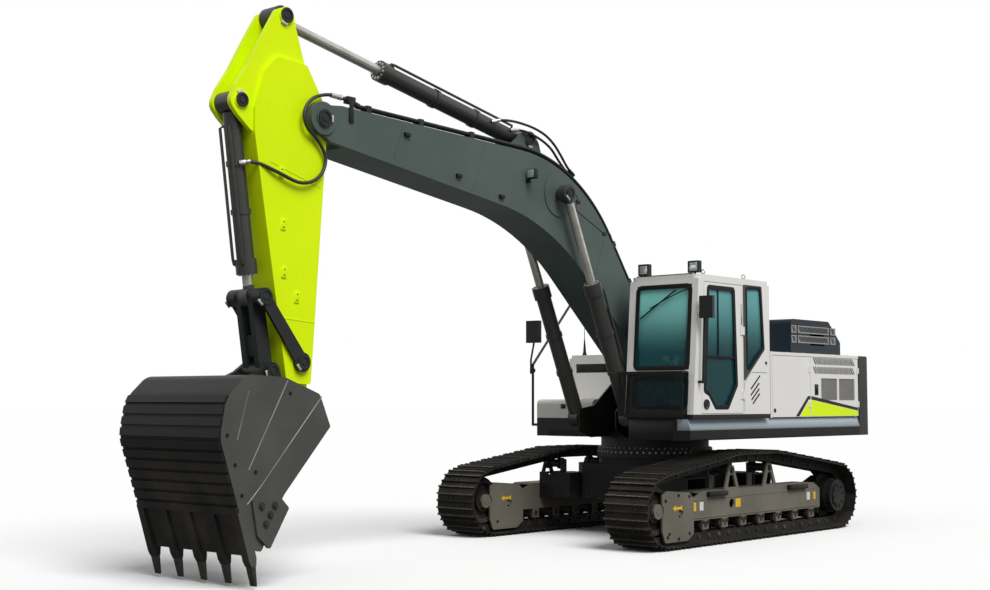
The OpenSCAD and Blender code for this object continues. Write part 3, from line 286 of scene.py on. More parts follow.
@dataclass(frozen=True)
class Paint:
    """Paint or bare metal with slow tone changes, dust, scuffs and fine grain."""

    name: str
    colour: RGB
    rough: float = 0.4
    metal: float = 0.0
    coat: float = 0.0
    mottle: float = 0.06
    dust: float = 0.1
    dust_top: float = 1.2
    scuff: float = 0.0
    scuff_colour: RGB = (0.30, 0.29, 0.27)
    scuff_stretch: Point = (4.0, 4.0, 0.6)
    grain: float = 0.08
    grain_scale: float = 260.0
    shine: float = 0.5

    def make(self) -> Material:
        """Builds the material.

        Returns:
            The material.
        """
        bench = Bench(self.name)
        slow = bench.noise(1.6, 4.0)
        fine = bench.noise(self.grain_scale, 2.0)
        specks = bench.noise(34.0, 5.0)
        dim, bright = (tint(self.colour, 1 + s * self.mottle) for s in (-1, 1))
        colour = bench.mix(dim, bright, slow.rise(*SPREAD))
        low = 1 - bench.axes()[2].rise(0.0, self.dust_top)
        film = low * specks.rise(0.35, 0.75) * slow.rise(0.25, 0.75) * self.dust
        colour = bench.mix(colour, DUST, film)
        rough = self.rough + (fine - 0.5) * 0.08 + (specks - 0.5) * 0.1 + film * 0.3
        if self.scuff:
            streak = bench.noise(9.0, 6.0, self.scuff_stretch)
            worn = streak.rise(0.60, 0.68) * specks.rise(0.42, 0.62) * self.scuff
            colour = bench.mix(colour, self.scuff_colour, worn)
            rough = rough - worn * 0.15
        return bench.surface({
            "Base Color": colour, "Roughness": rough, "Metallic": self.metal,
            "Coat Weight": self.coat, "Coat Roughness": 0.12, "Specular IOR Level": self.shine,
            "Normal": bench.bump(fine + specks * 0.6, self.grain, 0.0012),
        })


@dataclass(frozen=True)
class Belt:
    """Track shoes: brown-black plates with bright worn grouser edges."""

    name: str
    dark: RGB = (0.010, 0.0095, 0.008)
    light: RGB = (0.024, 0.022, 0.018)
    dirt: RGB = (0.060, 0.048, 0.032)
    bright: RGB = (0.22, 0.19, 0.15)
    wheel_x: float = 2.02
    wheel_z: float = 0.434
    edge: float = 0.426

    def make(self) -> Material:
        """Builds the material.

        Returns:
            The material.
        """
        bench = Bench(self.name)
        x, _, z = bench.axes()
        slow = bench.noise(3.0, 4.0)
        specks = bench.noise(60.0, 5.0)
        colour = bench.mix(self.dark, self.light, slow.rise(0.35, 0.7))
        colour = bench.mix(colour, self.dirt, specks.rise(0.55, 0.75) * 0.35)
        near = (abs(x) - self.wheel_x).larger(0.0)
        lift = z - self.wheel_z
        reach = (near * near + lift * lift).root()
        resting = near.rise(0.0, 0.02).larger(1 - z.rise(0.45, 0.5))
        worn = reach.rise(self.edge - 0.006, self.edge) * specks.rise(0.36, 0.52) * resting
        colour = bench.mix(colour, self.bright, worn * 0.6)
        return bench.surface({
            "Base Color": colour, "Roughness": 0.62 - worn * 0.2 + (specks - 0.5) * 0.25,
            "Metallic": worn * 0.4, "Specular IOR Level": 0.2,
            "Normal": bench.bump(specks, 0.35, 0.002),
        })


@dataclass(frozen=True)
class RailPaintedLightShade:
    """Side rail of the revolving frame: painted highlight on the upper face, lightening upward, and
    painted shade on the turned-in lower face.
    """

    name: str
    # painted highlight colour of the lit upper face
    upper: RGB = (0.40, 0.47, 0.51)
    # near-black painted shade of the turned-in lower face
    lower: RGB = (0.010, 0.010, 0.009)
    edge: float = 1.335
    inner: float = 1.30

    def make(self) -> Material:
        """Builds the material.

        Returns:
            The material.
        """
        bench = Bench(self.name)
        _, y, height = bench.axes()
        outside = abs(y).rise(self.inner, self.inner + 0.02)
        slow = bench.noise(1.4, 4.0)
        fine = bench.noise(240.0, 2.0)
        # painted light: the upper face lightens upward from the edge
        light = height.rise(self.edge - 0.02, self.edge + 0.12)
        pale = bench.mix(tint(self.upper, 0.45), self.upper, light)
        # painted shade below the edge and on the inner side
        above = height.rise(self.edge - 0.004, self.edge + 0.004)
        colour = bench.mix(self.lower, pale, above * outside)
        colour = bench.mix(colour, DUST, slow.rise(0.5, 0.8) * 0.06)
        return bench.surface({
            "Base Color": colour, "Roughness": 0.32 + (fine - 0.5) * 0.06,
            "Specular IOR Level": 0.15,
            "Normal": bench.bump(fine, 0.05, 0.001),
        })


@dataclass(frozen=True)
class BucketPaintedShade:
    """Bucket: grey side plates and a back painted near-black as painted shade, with rubbed strips.
    """

    name: str
    side: RGB = (0.080, 0.081, 0.074)
    # painted shade: the back is painted near-black against the lighter side plates
    back: RGB = (0.016, 0.0165, 0.016)
    rubbed: RGB = (0.060, 0.050, 0.036)
    chipped: RGB = (0.16, 0.15, 0.13)
    half: float = 0.752
    rub_full: float = 0.75
    rub_end: float = 1.45

    def make(self) -> Material:
        """Builds the material.

        Returns:
            The material.
        """
        bench = Bench(self.name)
        _, y, z = bench.axes()
        slow = bench.noise(2.2, 4.0)
        specks = bench.noise(46.0, 5.0)
        plate = abs(y).rise(self.half - 0.002, self.half)
        rub = (1 - z.rise(self.rub_full, self.rub_end)) * slow.rise(0.35, 0.7) * 0.7
        back = bench.mix(self.back, self.rubbed, rub)
        side = bench.mix(tint(self.side, 0.9), tint(self.side, 1.1), slow.rise(*SPREAD))
        # painted shade: near-black back beside the lighter side plates
        colour = bench.mix(back, side, plate)
        chips = specks.rise(0.66, 0.74) * slow.rise(0.45, 0.6) * 0.35
        colour = bench.mix(colour, self.chipped, chips)
        return bench.surface({
            "Base Color": colour, "Roughness": 0.46 + (specks - 0.5) * 0.2,
            "Specular IOR Level": 0.12,
            "Normal": bench.bump(specks + slow * 2.0, 0.12, 0.002),
        })


@dataclass(frozen=True)
class RodSteel:
    """Polished piston rod whose eye is painted."""

    name: str
    eyes: Tuple[Flat, ...]
    eye_reach: float = 0.125
    eye_colour: RGB = (0.035, 0.036, 0.036)
    dull: RGB = (0.44, 0.42, 0.38)
    bright: RGB = (0.58, 0.57, 0.53)

    def make(self) -> Material:
        """Builds the material.

        Returns:
            The material.
        """
        bench = Bench(self.name)
        x, _, z = bench.axes()
        painted: Optional[Term] = None
        for eye_x, eye_z in self.eyes:
            dx, dz = x - eye_x, z - eye_z
            reach = (dx * dx + dz * dz).root()
            near = 1 - reach.rise(self.eye_reach - 0.003, self.eye_reach)
            painted = near if painted is None else painted.larger(near)
        fine = bench.noise(180.0, 3.0)
        haze = bench.noise(5.0, 4.0)
        steel = bench.mix(self.dull, self.bright, haze.rise(*SPREAD))
        colour = bench.mix(steel, self.eye_colour, painted)
        return bench.surface({
            "Base Color": colour, "Metallic": 0.72 - painted * 0.7,
            "Roughness": 0.22 + haze * 0.08 + painted * 0.25,
            "Normal": bench.bump(fine, 0.03, 0.0008),
        })


@dataclass(frozen=True)
class Pane:
    """Tinted glass with a faint film of dust, painted lighter towards the top as a painted
    reflection.
    """

    name: str
    colour: RGB = (0.004, 0.066, 0.074)
    # painted reflection colour at the top of the side panes
    light: RGB = (0.15, 0.46, 0.46)
    screen: RGB = (0.005, 0.100, 0.115)
    # painted reflection colour at the top of the windscreen
    screen_reflection: RGB = (0.36, 0.98, 0.90)
    screen_x: float = 1.24
    cover: float = 0.58
    low: float = 2.2
    high: float = 2.95

    def make(self) -> Material:
        """Builds the material.

        Returns:
            The material.
        """
        bench = Bench(self.name)
        film = bench.noise(0.9, 1.0)
        x, _, height = bench.axes()
        front = x.rise(self.screen_x - 0.01, self.screen_x)
        # painted reflection: lighter and more opaque towards the top, varied by the dust film
        painted_reflection = height.rise(self.low, self.high) * (0.7 + film * 0.5)
        deep = bench.mix(self.colour, self.screen, front)
        pale = bench.mix(self.light, self.screen_reflection, front)
        colour = bench.mix(deep, pale, painted_reflection)
        return bench.surface({
            "Base Color": colour, "Roughness": 0.03 + film * 0.05,
            "Alpha": self.cover + painted_reflection * 0.22, "Specular IOR Level": 0.14,
        })


@dataclass(frozen=True)
class CabShell:
    """Cab panels: gloss white outside, dark moulded lining inside."""

    name: str
    white: RGB = (0.78, 0.77, 0.735)
    lining: RGB = (0.016, 0.017, 0.018)
    inner: float = 0.55
    outer: float = 1.53
    rear: float = -0.32
    front: float = 1.41
    lean: float = 0.0824
    low: float = 1.47
    top: float = 3.12
    skin: float = 0.02

    def make(self) -> Material:
        """Builds the material.

        Returns:
            The material.
        """
        bench = Bench(self.name)
        x, y, z = bench.axes()
        face = self.front - (z - self.low) * self.lean
        depth = self.top - z + self.skin
        for wall in (y - self.inner, self.outer - y, x - self.rear, face - x):
            depth = depth.smaller(wall)
        inside = depth.rise(self.skin, self.skin + 0.002)
        slow = bench.noise(2.0, 4.0)
        fine = bench.noise(260.0, 2.0)
        paint = bench.mix(tint(self.white, 0.98), tint(self.white, 1.02), slow.rise(*SPREAD))
        colour = bench.mix(paint, self.lining, inside)
        return bench.surface({
            "Base Color": colour, "Roughness": 0.28 + (fine - 0.5) * 0.06 + inside * 0.35,
            "Coat Weight": 0.3 - inside * 0.3, "Coat Roughness": 0.1,
            "Normal": bench.bump(fine, 0.05, 0.001),
        })


@dataclass(frozen=True)
class Lattice:
    """Sheet with diamond holes inside a solid border, in the plane of Y and Z."""

    name: str
    low: Flat = (0.540, 1.525)
    high: Flat = (1.392, 1.990)
    pitch: float = 0.040
    squat: float = 1.6
    colour: RGB = (0.006, 0.006, 0.007)

    def make(self) -> Material:
        """Builds the material.

        Returns:
            The material.
        """
        bench = Bench(self.name)
        _, y, z = bench.axes()
        turn = math.pi / self.pitch
        u, v = y * turn, z * turn * self.squat
        a, b = (u + v).wave(), (u - v).wave()
        edge = (y - self.low[0]).smaller(self.high[0] - y)
        edge = edge.smaller(z - self.low[1]).smaller(self.high[1] - z)
        hole = (a * a).smaller(b * b).rise(0.13, 0.2) * edge.rise(0.0, 0.002)
        specks = bench.noise(70.0, 4.0)
        colour = bench.mix(self.colour, tint(self.colour, 2.6), specks.rise(0.4, 0.7))
        return bench.surface({
            "Base Color": colour, "Roughness": 0.5 + specks * 0.15, "Alpha": 1 - hole,
            "Specular IOR Level": 0.15,
        })


@dataclass(frozen=True)
class Cloth:
    """Woven seat cloth."""

    name: str
    colour: RGB = (0.022, 0.024, 0.027)
    threads: float = 900.0

    def make(self) -> Material:
        """Builds the material.

        Returns:
            The material.
        """
        bench = Bench(self.name)
        x, y, z = bench.axes()
        threads = ((x + z) * self.threads).wave() * (y * self.threads).wave()
        slow = bench.noise(7.0, 3.0)
        colour = bench.mix(self.colour, tint(self.colour, 2.2), threads.rise(-0.4, 0.9) * slow)
        return bench.surface({
            "Base Color": colour, "Roughness": 0.86 + slow * 0.08, "Sheen Weight": 0.3,
            "Normal": bench.bump(threads, 0.4, 0.0006),
        })


FINISHES = {
    "lime": Paint("lime_gloss", (0.75, 0.99, 0.002), 0.34, mottle=0.03, dust=0.04, scuff=0.10,
                  scuff_colour=(0.45, 0.62, 0.004), shine=0.15),
    "white": Paint("warm_white_gloss", (0.78, 0.77, 0.735), 0.30, coat=0.2, mottle=0.02, dust=0.04,
                   scuff=0.05, scuff_colour=(0.55, 0.54, 0.50), shine=0.4),
    "boom": Paint("boom_grey_satin", (0.085, 0.112, 0.103), 0.42, mottle=0.08, dust=0.1, scuff=0.2,
                  scuff_colour=(0.13, 0.145, 0.135), shine=0.12),
    "charcoal": Paint("charcoal_satin", (0.021, 0.025, 0.024), 0.40, mottle=0.14, dust=0.1,
                      scuff=0.2, scuff_colour=(0.06, 0.06, 0.056), shine=0.2),
    "weight": Paint("weight_grey", (0.025, 0.0245, 0.023), 0.40, mottle=0.08, dust=0.1, shine=0.25),
    "hood": Paint("hood_blue_black", (0.014, 0.022, 0.030), 0.32, mottle=0.1, dust=0.05,
                  shine=0.14),
    "frame": Paint("track_frame_grey", (0.148, 0.139, 0.113), 0.5, mottle=0.14, dust=0.6,
                   dust_top=0.9, scuff=0.3, scuff_colour=(0.26, 0.24, 0.20), grain=0.14, shine=0.2),
    # side rail with painted highlight and painted shade
    "rail": RailPaintedLightShade("side_rail_painted_light_and_shade"),
    "barrel": Paint("barrel_satin", (0.042, 0.043, 0.039), 0.30, mottle=0.08, dust=0.05, shine=0.4),
    "backing": Paint("grille_backing", (0.27, 0.262, 0.255), 0.5, mottle=0.1, dust=0.1, shine=0.2),
    # painted shade: near-black for the sheets, bars and slats that stand for the shade inside
    # openings
    "slot": Paint("slot_painted_shade", (0.030, 0.030, 0.030), 0.6, mottle=0.1, dust=0.1, shine=0.1),
    "black": Paint("black_satin", (0.008, 0.008, 0.009), 0.40, mottle=0.2, dust=0.1, grain=0.1,
                   shine=0.25),
    "rubber": Paint("seal_rubber", (0.006, 0.006, 0.007), 0.62, mottle=0.2, dust=0.1, grain=0.2,
                    grain_scale=420.0, shine=0.2),
    "carbody": Paint("carbody_black", (0.010, 0.011, 0.012), 0.45, mottle=0.2, dust=0.5,
                     dust_top=0.9, grain=0.12, shine=0.2),
    "wheel": Paint("roller_iron", (0.020, 0.019, 0.017), 0.55, mottle=0.3, dust=0.8, dust_top=0.6,
                   scuff=0.6, scuff_colour=(0.12, 0.11, 0.09), grain=0.25, shine=0.25),
    "tooth": Paint("tooth_steel", (0.030, 0.029, 0.027), 0.45, mottle=0.2, dust=0.3, dust_top=0.5,
                   scuff=0.5, scuff_colour=(0.09, 0.085, 0.075), grain=0.2, shine=0.25),
    "silver": Paint("silver_grille", (0.32, 0.33, 0.33), 0.42, metal=0.3, mottle=0.08, dust=0.1),
    "weld": Paint("weld_bead", (0.22, 0.215, 0.20), 0.5, metal=0.2, mottle=0.4, dust=0.2, grain=0.6,
                  grain_scale=90.0),
    "trim": Paint("cab_black_trim", (0.006, 0.007, 0.008), 0.16, mottle=0.1, dust=0.05, grain=0.03,
                  shine=0.4),
    "zinc": Paint("zinc_fastener", (0.52, 0.51, 0.48), 0.34, metal=0.9, mottle=0.15, dust=0.1),
    "engine": Paint("engine_cast", (0.09, 0.09, 0.088), 0.6, metal=0.4, mottle=0.25, dust=0.2,
                    grain=0.4, grain_scale=120.0),
    "plastic": Paint("moulded_plastic", (0.014, 0.015, 0.016), 0.55, mottle=0.1, dust=0.05,
                     grain=0.3, grain_scale=380.0),
    "yellow": Paint("yellow_mark", (0.80, 0.48, 0.005), 0.45, mottle=0.05, dust=0.3, dust_top=0.9),
    "plate": Paint("blank_plate", (0.70, 0.69, 0.64), 0.4, mottle=0.05, dust=0.4, dust_top=0.9),
    "lens": Paint("lamp_lens", (0.62, 0.66, 0.68), 0.08, metal=0.6, coat=1.0, mottle=0.2, grain=0.5,
                  grain_scale=90.0),
    "hose": Paint("hose_rubber", (0.016, 0.016, 0.016), 0.5, mottle=0.2, dust=0.1, grain=0.25,
                  grain_scale=500.0),
    "belt": Belt("track_belt"),
    # bucket with painted shade on its back
    "bucket": BucketPaintedShade("bucket_back_painted_shade"),
    "rods": RodSteel("rod_steel", ((2.324, 4.106), (6.430, 5.430), (6.701, 2.657))),
    "glass": Pane("teal_glass"),
    "cab": CabShell("cab_panels"),
    "lattice": Lattice("guard_lattice"),
    "cloth": Cloth("seat_weave"),
}


class Finishes:
    """Makes each finish once and hands it out by name."""

    made: Dict[str, Material] = {}

    @classmethod
    def get(cls, name: str) -> Material:
        """Material of a finish.

        Args:
            name: Key in FINISHES.

        Returns:
            The material.
        """
        if name not in cls.made:
            cls.made[name] = FINISHES[name].make()
        return cls.made[name]


NODE_FINISH = {
    "lime": ("arm",),
    "white": ("body_cover", "service_door_front", "service_door_rear", "pump_door", "fuel_tank",
              "tool_box_lid"),
    "cab": ("cab_roof", "cab_front_frame", "cab_rear_wall", "cab_right_wall", "cab_left_wall",
            "cab_door"),
    "boom": ("boom",),
    "weight": ("counterweight",),
    "charcoal": ("boom_pipes", "rockers", "h_link"),
    "barrel": ("boom_barrels", "arm_barrel", "bucket_barrel"),
    "hood": ("engine_hood",),
    "bucket": ("bucket_shell", "side_cutters"),
    "frame": ("track_frame_left", "track_frame_right"),
    "rail": ("revolving_frame",),
    "black": ("tool_box", "handrails", "mirrors", "work_lamps", "cab_floor"),
    "carbody": ("carbody", "slew_ring", "sprockets"),
    "wheel": ("idlers", "track_rollers", "carrier_rollers"),
    "tooth": ("bucket_teeth",),
    "engine": ("engine_block",),
    "plastic": ("controls",),
    "belt": ("track_left", "track_right"),
    "rods": ("boom_rods", "arm_rod", "bucket_rod"),
    "glass": ("cab_glass", "door_glass"),
    "lattice": ("front_guard",),
}


def paint_frame() -> None:
    """Gives every CAD node that stays visible its finish."""
    for finish, nodes in NODE_FINISH.items():
        for node in nodes:
            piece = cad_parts[node]
            if not piece.material_slots:
                piece.data.materials.append(None)
            for slot in piece.material_slots:
                slot.material = Finishes.get(finish)
            log.info("finish %s on %s", finish, node)


@dataclass(frozen=True)
class SideFrame:
    """Frame of a front member in the XZ plane."""

    x: float
    z: float
    tilt: float

    def at(self, along: float, up: float, y: float) -> Vector:
        """Point in the row frame.

        Args:
            along: Distance along the member.
            up: Distance square to it.
            y: Distance to the cab side.

        Returns:
            The point.
        """
        c, s = math.cos(math.radians(self.tilt)), math.sin(math.radians(self.tilt))
        return vec(self.x + along * c - up * s, y, self.z + along * s + up * c)


BOOM = SideFrame(0.15, 2.0, 22.7)
ARM = SideFrame(6.0303, 4.4598, -85.8)


def spun(middle: Vector, turn: Vector, side: Vector, radius: float, count: int,
         start: float = 0.0) -> List[Vector]:
    """Points round a middle, in the plane of two directions.

    Args:
        middle: Middle of the circle.
        turn: Direction of the first point at start 0.
        side: Direction a quarter turn on.
        radius: Radius.
        count: Number of points.
        start: First angle in degrees.

    Returns:
        The points.
    """
    angles = (math.radians(start) + 2 * math.pi * k / count for k in range(count))
    return [middle + (turn * math.cos(t) + side * math.sin(t)) * radius for t in angles]


def circle(middle: Vector, axis: Vector, radius: float, count: int,
           start: float = 0.0) -> List[Vector]:
    """Points round a circle square to an axis.

    Args:
        middle: Middle of the circle.
        axis: Direction square to it.
        radius: Radius.
        count: Number of points.
        start: First angle in degrees.

    Returns:
        The points.
    """
    run = axis.normalized()
    turn = run.orthogonal().normalized()
    return spun(middle, turn, run.cross(turn), radius, count, start)


class Solid:
    """Collects closed forms that share a body and a finish."""

    def __init__(self) -> None:
        """Starts an empty mesh."""
        self.bm = bmesh.new()

    def loop(self, points: Iterable[Vector]) -> list:
        """New vertices at points."""
        return [self.bm.verts.new(p) for p in points]

    def skin(self, low: list, high: list) -> None:
        """Faces between two closed loops.

        Args:
            low: Vertices of one loop.
            high: As many vertices of the other.
        """
        for k, corner in enumerate(low):
            j = (k + 1) % len(low)
            self.bm.faces.new((corner, low[j], high[j], high[k]))

    def prism(self, outline: Sequence[Vector], push: Vector) -> None:
        """Outline drawn out along a vector.

        Args:
            outline: Corners in order.
            push: Vector from one end face to the other.
        """
        low = self.loop(outline)
        high = self.loop([p + push for p in outline])
        self.bm.faces.new(low)
        self.bm.faces.new(high[::-1])
        self.skin(high, low)

    def box(self, low: Sequence[float], high: Sequence[float]) -> None:
        """Box between two corners.

        Args:
            low: One corner.
            high: The corner across from it.
        """
        (x0, y0, z0), (x1, y1, z1) = low, high
        foot = [vec(x, y, z0) for x, y in ((x0, y0), (x1, y0), (x1, y1), (x0, y1))]
        self.prism(foot, Z * (z1 - z0))

    def beam(self, start: Vector, end: Vector, wide: float, deep: float, up: Vector) -> None:
        """Square bar between two points.

        Args:
            start: One end.
            end: Other end.
            wide: Width square to up.
            deep: Depth along up.
            up: Direction of the depth.
        """
        run = (end - start).normalized()
        across = run.cross(up).normalized() * wide / 2
        lift = across.cross(run).normalized() * deep / 2
        ways = (across + lift, lift - across, -across - lift, across - lift)
        self.prism([start + way for way in ways], end - start)

    def tube(self, points: Sequence[Vector], radius: float, sides: int,
             closed: bool = False) -> None:
        """Round tube along points.

        Args:
            points: Middle line.
            radius: Tube radius.
            sides: Corners of the section.
            closed: True if the tube closes on itself.
        """
        n = len(points)
        rings: List[list] = []
        turn: Optional[Vector] = None
        for k, p in enumerate(points):
            a = points[(k - 1) % n] if closed or k else p
            b = points[(k + 1) % n] if closed or k < n - 1 else p
            run = (b - a).normalized()
            if turn is None:
                turn = run.orthogonal().normalized()
            turn = (turn - run * turn.dot(run)).normalized()
            rings.append(self.loop(spun(p, turn, run.cross(turn), radius, sides)))
        for k in range(n if closed else n - 1):
            self.skin(rings[k], rings[(k + 1) % n])
        if not closed:
            self.bm.faces.new(rings[0][::-1])
            self.bm.faces.new(rings[-1])

    def disc(self, start: Vector, end: Vector, radius: float, sides: int,
             top: Optional[float] = None) -> None:
        """Round boss, straight or tapered.

        Args:
            start: Middle of one end.
            end: Middle of the other end.
            radius: Radius at the start.
            sides: Corners of the section.
            top: Radius at the end, or None for the same.
        """
        low = self.loop(circle(start, end - start, radius, sides))
        high = self.loop(circle(end, end - start, radius if top is None else top, sides))
        self.skin(low, high)
        self.bm.faces.new(low[::-1])
        self.bm.faces.new(high)

    def ring(self, outer: Sequence[Vector], inner: Sequence[Vector], push: Vector) -> None:
        """Frame between two outlines with as many corners, drawn out.

        Args:
            outer: Outer outline.
            inner: Inner outline.
            push: Vector from one face to the other.
        """
        far = [[p + push for p in row] for row in (inner, outer)]
        loops = [self.loop(row) for row in (outer, inner, *far)]
        for low, high in zip(loops, [*loops[1:], loops[0]]):
            self.skin(low, high)

    def piece(self, name: str, look: str, bevel: float = 0.0) -> Object:
        """Turns the forms into an object.

        Args:
            name: Name of the piece.
            look: Key of its finish.
            bevel: Width of the rounded edges, or 0.

        Returns:
            The object.
        """
        bmesh.ops.recalc_face_normals(self.bm, faces=self.bm.faces)
        mesh = bpy.data.meshes.new(name)
        self.bm.to_mesh(mesh)
        self.bm.free()
        piece = bpy.data.objects.new(name, mesh)
        bpy.context.scene.collection.objects.link(piece)
        mesh.materials.append(Finishes.get(look))
        if bevel:
            edge = piece.modifiers.new("edge", "BEVEL")
            edge.width = bevel
            edge.segments = 2
            edge.limit_method = "ANGLE"
            bake(piece)
        shade(piece.data)
        return piece

    def finish(self, name: str, body: str, look: str, slot: Slot,
               bevel: float = 0.0) -> Object:
        """Turns the forms into a piece that rides on a body.

        Args:
            name: Name of the piece.
            body: Body that carries it.
            look: Key of its finish.
            slot: Material slot of the record; not used.
            bevel: Width of the rounded edges, or 0.

        Returns:
            The piece.
        """
        return settle(self.piece(name, look, bevel), body)


def shade(mesh: Mesh, angle: float = 35.0) -> None:
    """Smooth shading with sharp edges above an angle."""
    mesh.polygons.foreach_set("use_smooth", [True] * len(mesh.polygons))
    mesh.set_sharp_from_angle(angle=math.radians(angle))


def bake(piece: Object) -> None:
    """Turns a piece with modifiers into a plain mesh.

    Args:
        piece: The piece, which keeps no modifier.
    """
    graph = bpy.context.evaluated_depsgraph_get()
    plain = bpy.data.meshes.new_from_object(piece.evaluated_get(graph))
    piece.modifiers.clear()
    piece.data = plain


def settle(piece: Object, body: str) -> Object:
    """Puts a finished piece on its body.

    Args:
        piece: The piece.
        body: Body that carries it.

    Returns:
        The piece.
    """
    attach(piece, body)
    log.info("%s on %s: %d faces", piece.name, body, len(piece.data.polygons))
    return piece


class Head(Enum):
    """Forms that the repeat tree can place."""

    HEX = 6
    ROUND = 16


class Rows:
    """Geometry Nodes tree that sets one form on every point of a mesh."""

    title: str = "rows"
    sizes: Tuple[Tuple[str, str], ...] = ()
    tree: Optional[NodeTree] = None

    @classmethod
    def form(cls, tree: NodeTree, begin: Node) -> NodeSocket:
        """Adds the nodes of the form that is repeated.

        Args:
            tree: The tree.
            begin: Its input node.

        Returns:
            The form's output.
        """
        raise NotImplementedError

    @classmethod
    def turn(cls, tree: NodeTree) -> NodeSocket:
        """Adds the nodes that turn each copy.

        Args:
            tree: The tree.

        Returns:
            The rotation's output.
        """
        raise NotImplementedError

    @staticmethod
    def lifted(tree: NodeTree, form: NodeSocket, height: NodeSocket) -> NodeSocket:
        """Moves a form up by half its height.

        Args:
            tree: The tree.
            form: Output of the form.
            height: Output that gives its height.

        Returns:
            The moved form's output.
        """
        add, link = tree.nodes.new, tree.links.new
        lift, half = add("GeometryNodeTransform"), add("ShaderNodeMath")
        push = add("ShaderNodeCombineXYZ")
        half.operation = "MULTIPLY"
        half.inputs[1].default_value = 0.5
        link(height, half.inputs[0])
        link(half.outputs[0], push.inputs["Z"])
        link(push.outputs[0], lift.inputs["Translation"])
        link(form, lift.inputs["Geometry"])
        return lift.outputs[0]

    @staticmethod
    def read(tree: NodeTree, name: str) -> NodeSocket:
        """Adds a node that reads a direction stored on the points.

        Args:
            tree: The tree.
            name: Name of the attribute.

        Returns:
            The direction's output.
        """
        node = tree.nodes.new("GeometryNodeInputNamedAttribute")
        node.data_type = "FLOAT_VECTOR"
        node.inputs["Name"].default_value = name
        return node.outputs["Attribute"]

    @classmethod
    def build(cls) -> NodeTree:
        """Builds the tree once.

        Returns:
            The tree.
        """
        if cls.tree:
            return cls.tree
        tree = bpy.data.node_groups.new(cls.title, "GeometryNodeTree")
        face = tree.interface
        face.new_socket("Geometry", in_out="INPUT", socket_type="NodeSocketGeometry")
        for name, kind in (*cls.sizes, ("Finish", "Material")):
            face.new_socket(name, in_out="INPUT", socket_type=f"NodeSocket{kind}")
        face.new_socket("Geometry", in_out="OUTPUT", socket_type="NodeSocketGeometry")
        add, link = tree.nodes.new, tree.links.new
        begin, end = add("NodeGroupInput"), add("NodeGroupOutput")
        place, real = add("GeometryNodeInstanceOnPoints"), add("GeometryNodeRealizeInstances")
        coat = add("GeometryNodeSetMaterial")
        link(begin.outputs[0], place.inputs["Points"])
        link(cls.form(tree, begin), place.inputs["Instance"])
        link(cls.turn(tree), place.inputs["Rotation"])
        link(place.outputs[0], real.inputs[0])
        link(real.outputs[0], coat.inputs["Geometry"])
        link(begin.outputs["Finish"], coat.inputs["Material"])
        link(coat.outputs[0], end.inputs[0])
        cls.tree = tree
        return tree

    @classmethod
    def run(cls, name: str, body: str, slot: Slot, points: Sequence[Vector],
            ways: Dict[str, Sequence[Vector]], values: Dict[str, object]) -> Object:
        """Runs the tree on points and keeps the plain mesh.

        Args:
            name: Name of the piece.
            body: Body that carries it.
            slot: Material slot of the record; not used.
            points: Where the copies stand.
            ways: Directions stored on the points, by attribute name.
            values: Values of the tree's inputs, by name.

        Returns:
            The piece.
        """
        mesh = bpy.data.meshes.new(name)
        mesh.from_pydata(points, [], [])
        for key, arrows in ways.items():
            way = mesh.attributes.new(key, "FLOAT_VECTOR", "POINT")
            way.data.foreach_set("vector", [c for d in arrows for c in d.normalized()])
        piece = bpy.data.objects.new(name, mesh)
        bpy.context.scene.collection.objects.link(piece)
        tree = cls.build()
        rows = piece.modifiers.new("rows", "NODES")
        rows.node_group = tree
        for item in tree.interface.items_tree:
            if item.in_out == "INPUT" and item.name in values:
                rows[item.identifier] = values[item.name]
        bake(piece)
        shade(piece.data)
        return settle(piece, body)


class Repeat(Rows):
    """Fasteners with washers, square to the surface at every point."""

    title = "fastener_rows"
    sizes = (("Corners", "Int"), ("Head Radius", "Float"), ("Head Height", "Float"),
             ("Washer Radius", "Float"), ("Washer Height", "Float"))
    washer_height = 0.3
    tree = None

    @classmethod
    def form(cls, tree: NodeTree, begin: Node) -> NodeSocket:
        """Head and washer, joined.

        Args:
            tree: The tree.
            begin: Its input node.

        Returns:
            The form's output.
        """
        add, link = tree.nodes.new, tree.links.new
        joined = add("GeometryNodeJoinGeometry")
        for radius, height, corners in (("Head Radius", "Head Height", "Corners"),
                                        ("Washer Radius", "Washer Height", None)):
            disc = add("GeometryNodeMeshCylinder")
            disc.inputs["Vertices"].default_value = Head.ROUND.value
            if corners:
                link(begin.outputs[corners], disc.inputs["Vertices"])
            link(begin.outputs[radius], disc.inputs["Radius"])
            link(begin.outputs[height], disc.inputs["Depth"])
            link(cls.lifted(tree, disc.outputs["Mesh"], begin.outputs[height]), joined.inputs[0])
        return joined.outputs[0]

    @classmethod
    def turn(cls, tree: NodeTree) -> NodeSocket:
        """Turns each copy square to its surface.

        Args:
            tree: The tree.

        Returns:
            The rotation's output.
        """
        square = tree.nodes.new("FunctionNodeAlignRotationToVector")
        square.axis = "Z"
        tree.links.new(cls.read(tree, "facing"), square.inputs["Vector"])
        return square.outputs[0]

    @classmethod
    def place(cls, name: str, body: str, spots: Iterable[Tuple[Vector, Vector]], head: Head,
              radius: float, height: float, look: str, slot: Slot,
              washer: float = 1.5) -> Object:
        """Sets fasteners on points.

        Args:
            name: Name of the piece.
            body: Body that carries it.
            spots: Points with the direction each faces.
            head: Form of the head.
            radius: Radius of the head.
            height: Height of the head.
            look: Key of the finish.
            slot: Material slot of the record.
            washer: Radius of the washer in head radii.

        Returns:
            The piece.
        """
        points, facing = zip(*spots)
        return cls.run(name, body, slot, points, {"facing": facing}, {
            "Corners": head.value, "Head Radius": radius, "Head Height": height,
            "Washer Radius": radius * washer, "Washer Height": height * cls.washer_height,
            "Finish": Finishes.get(look)})


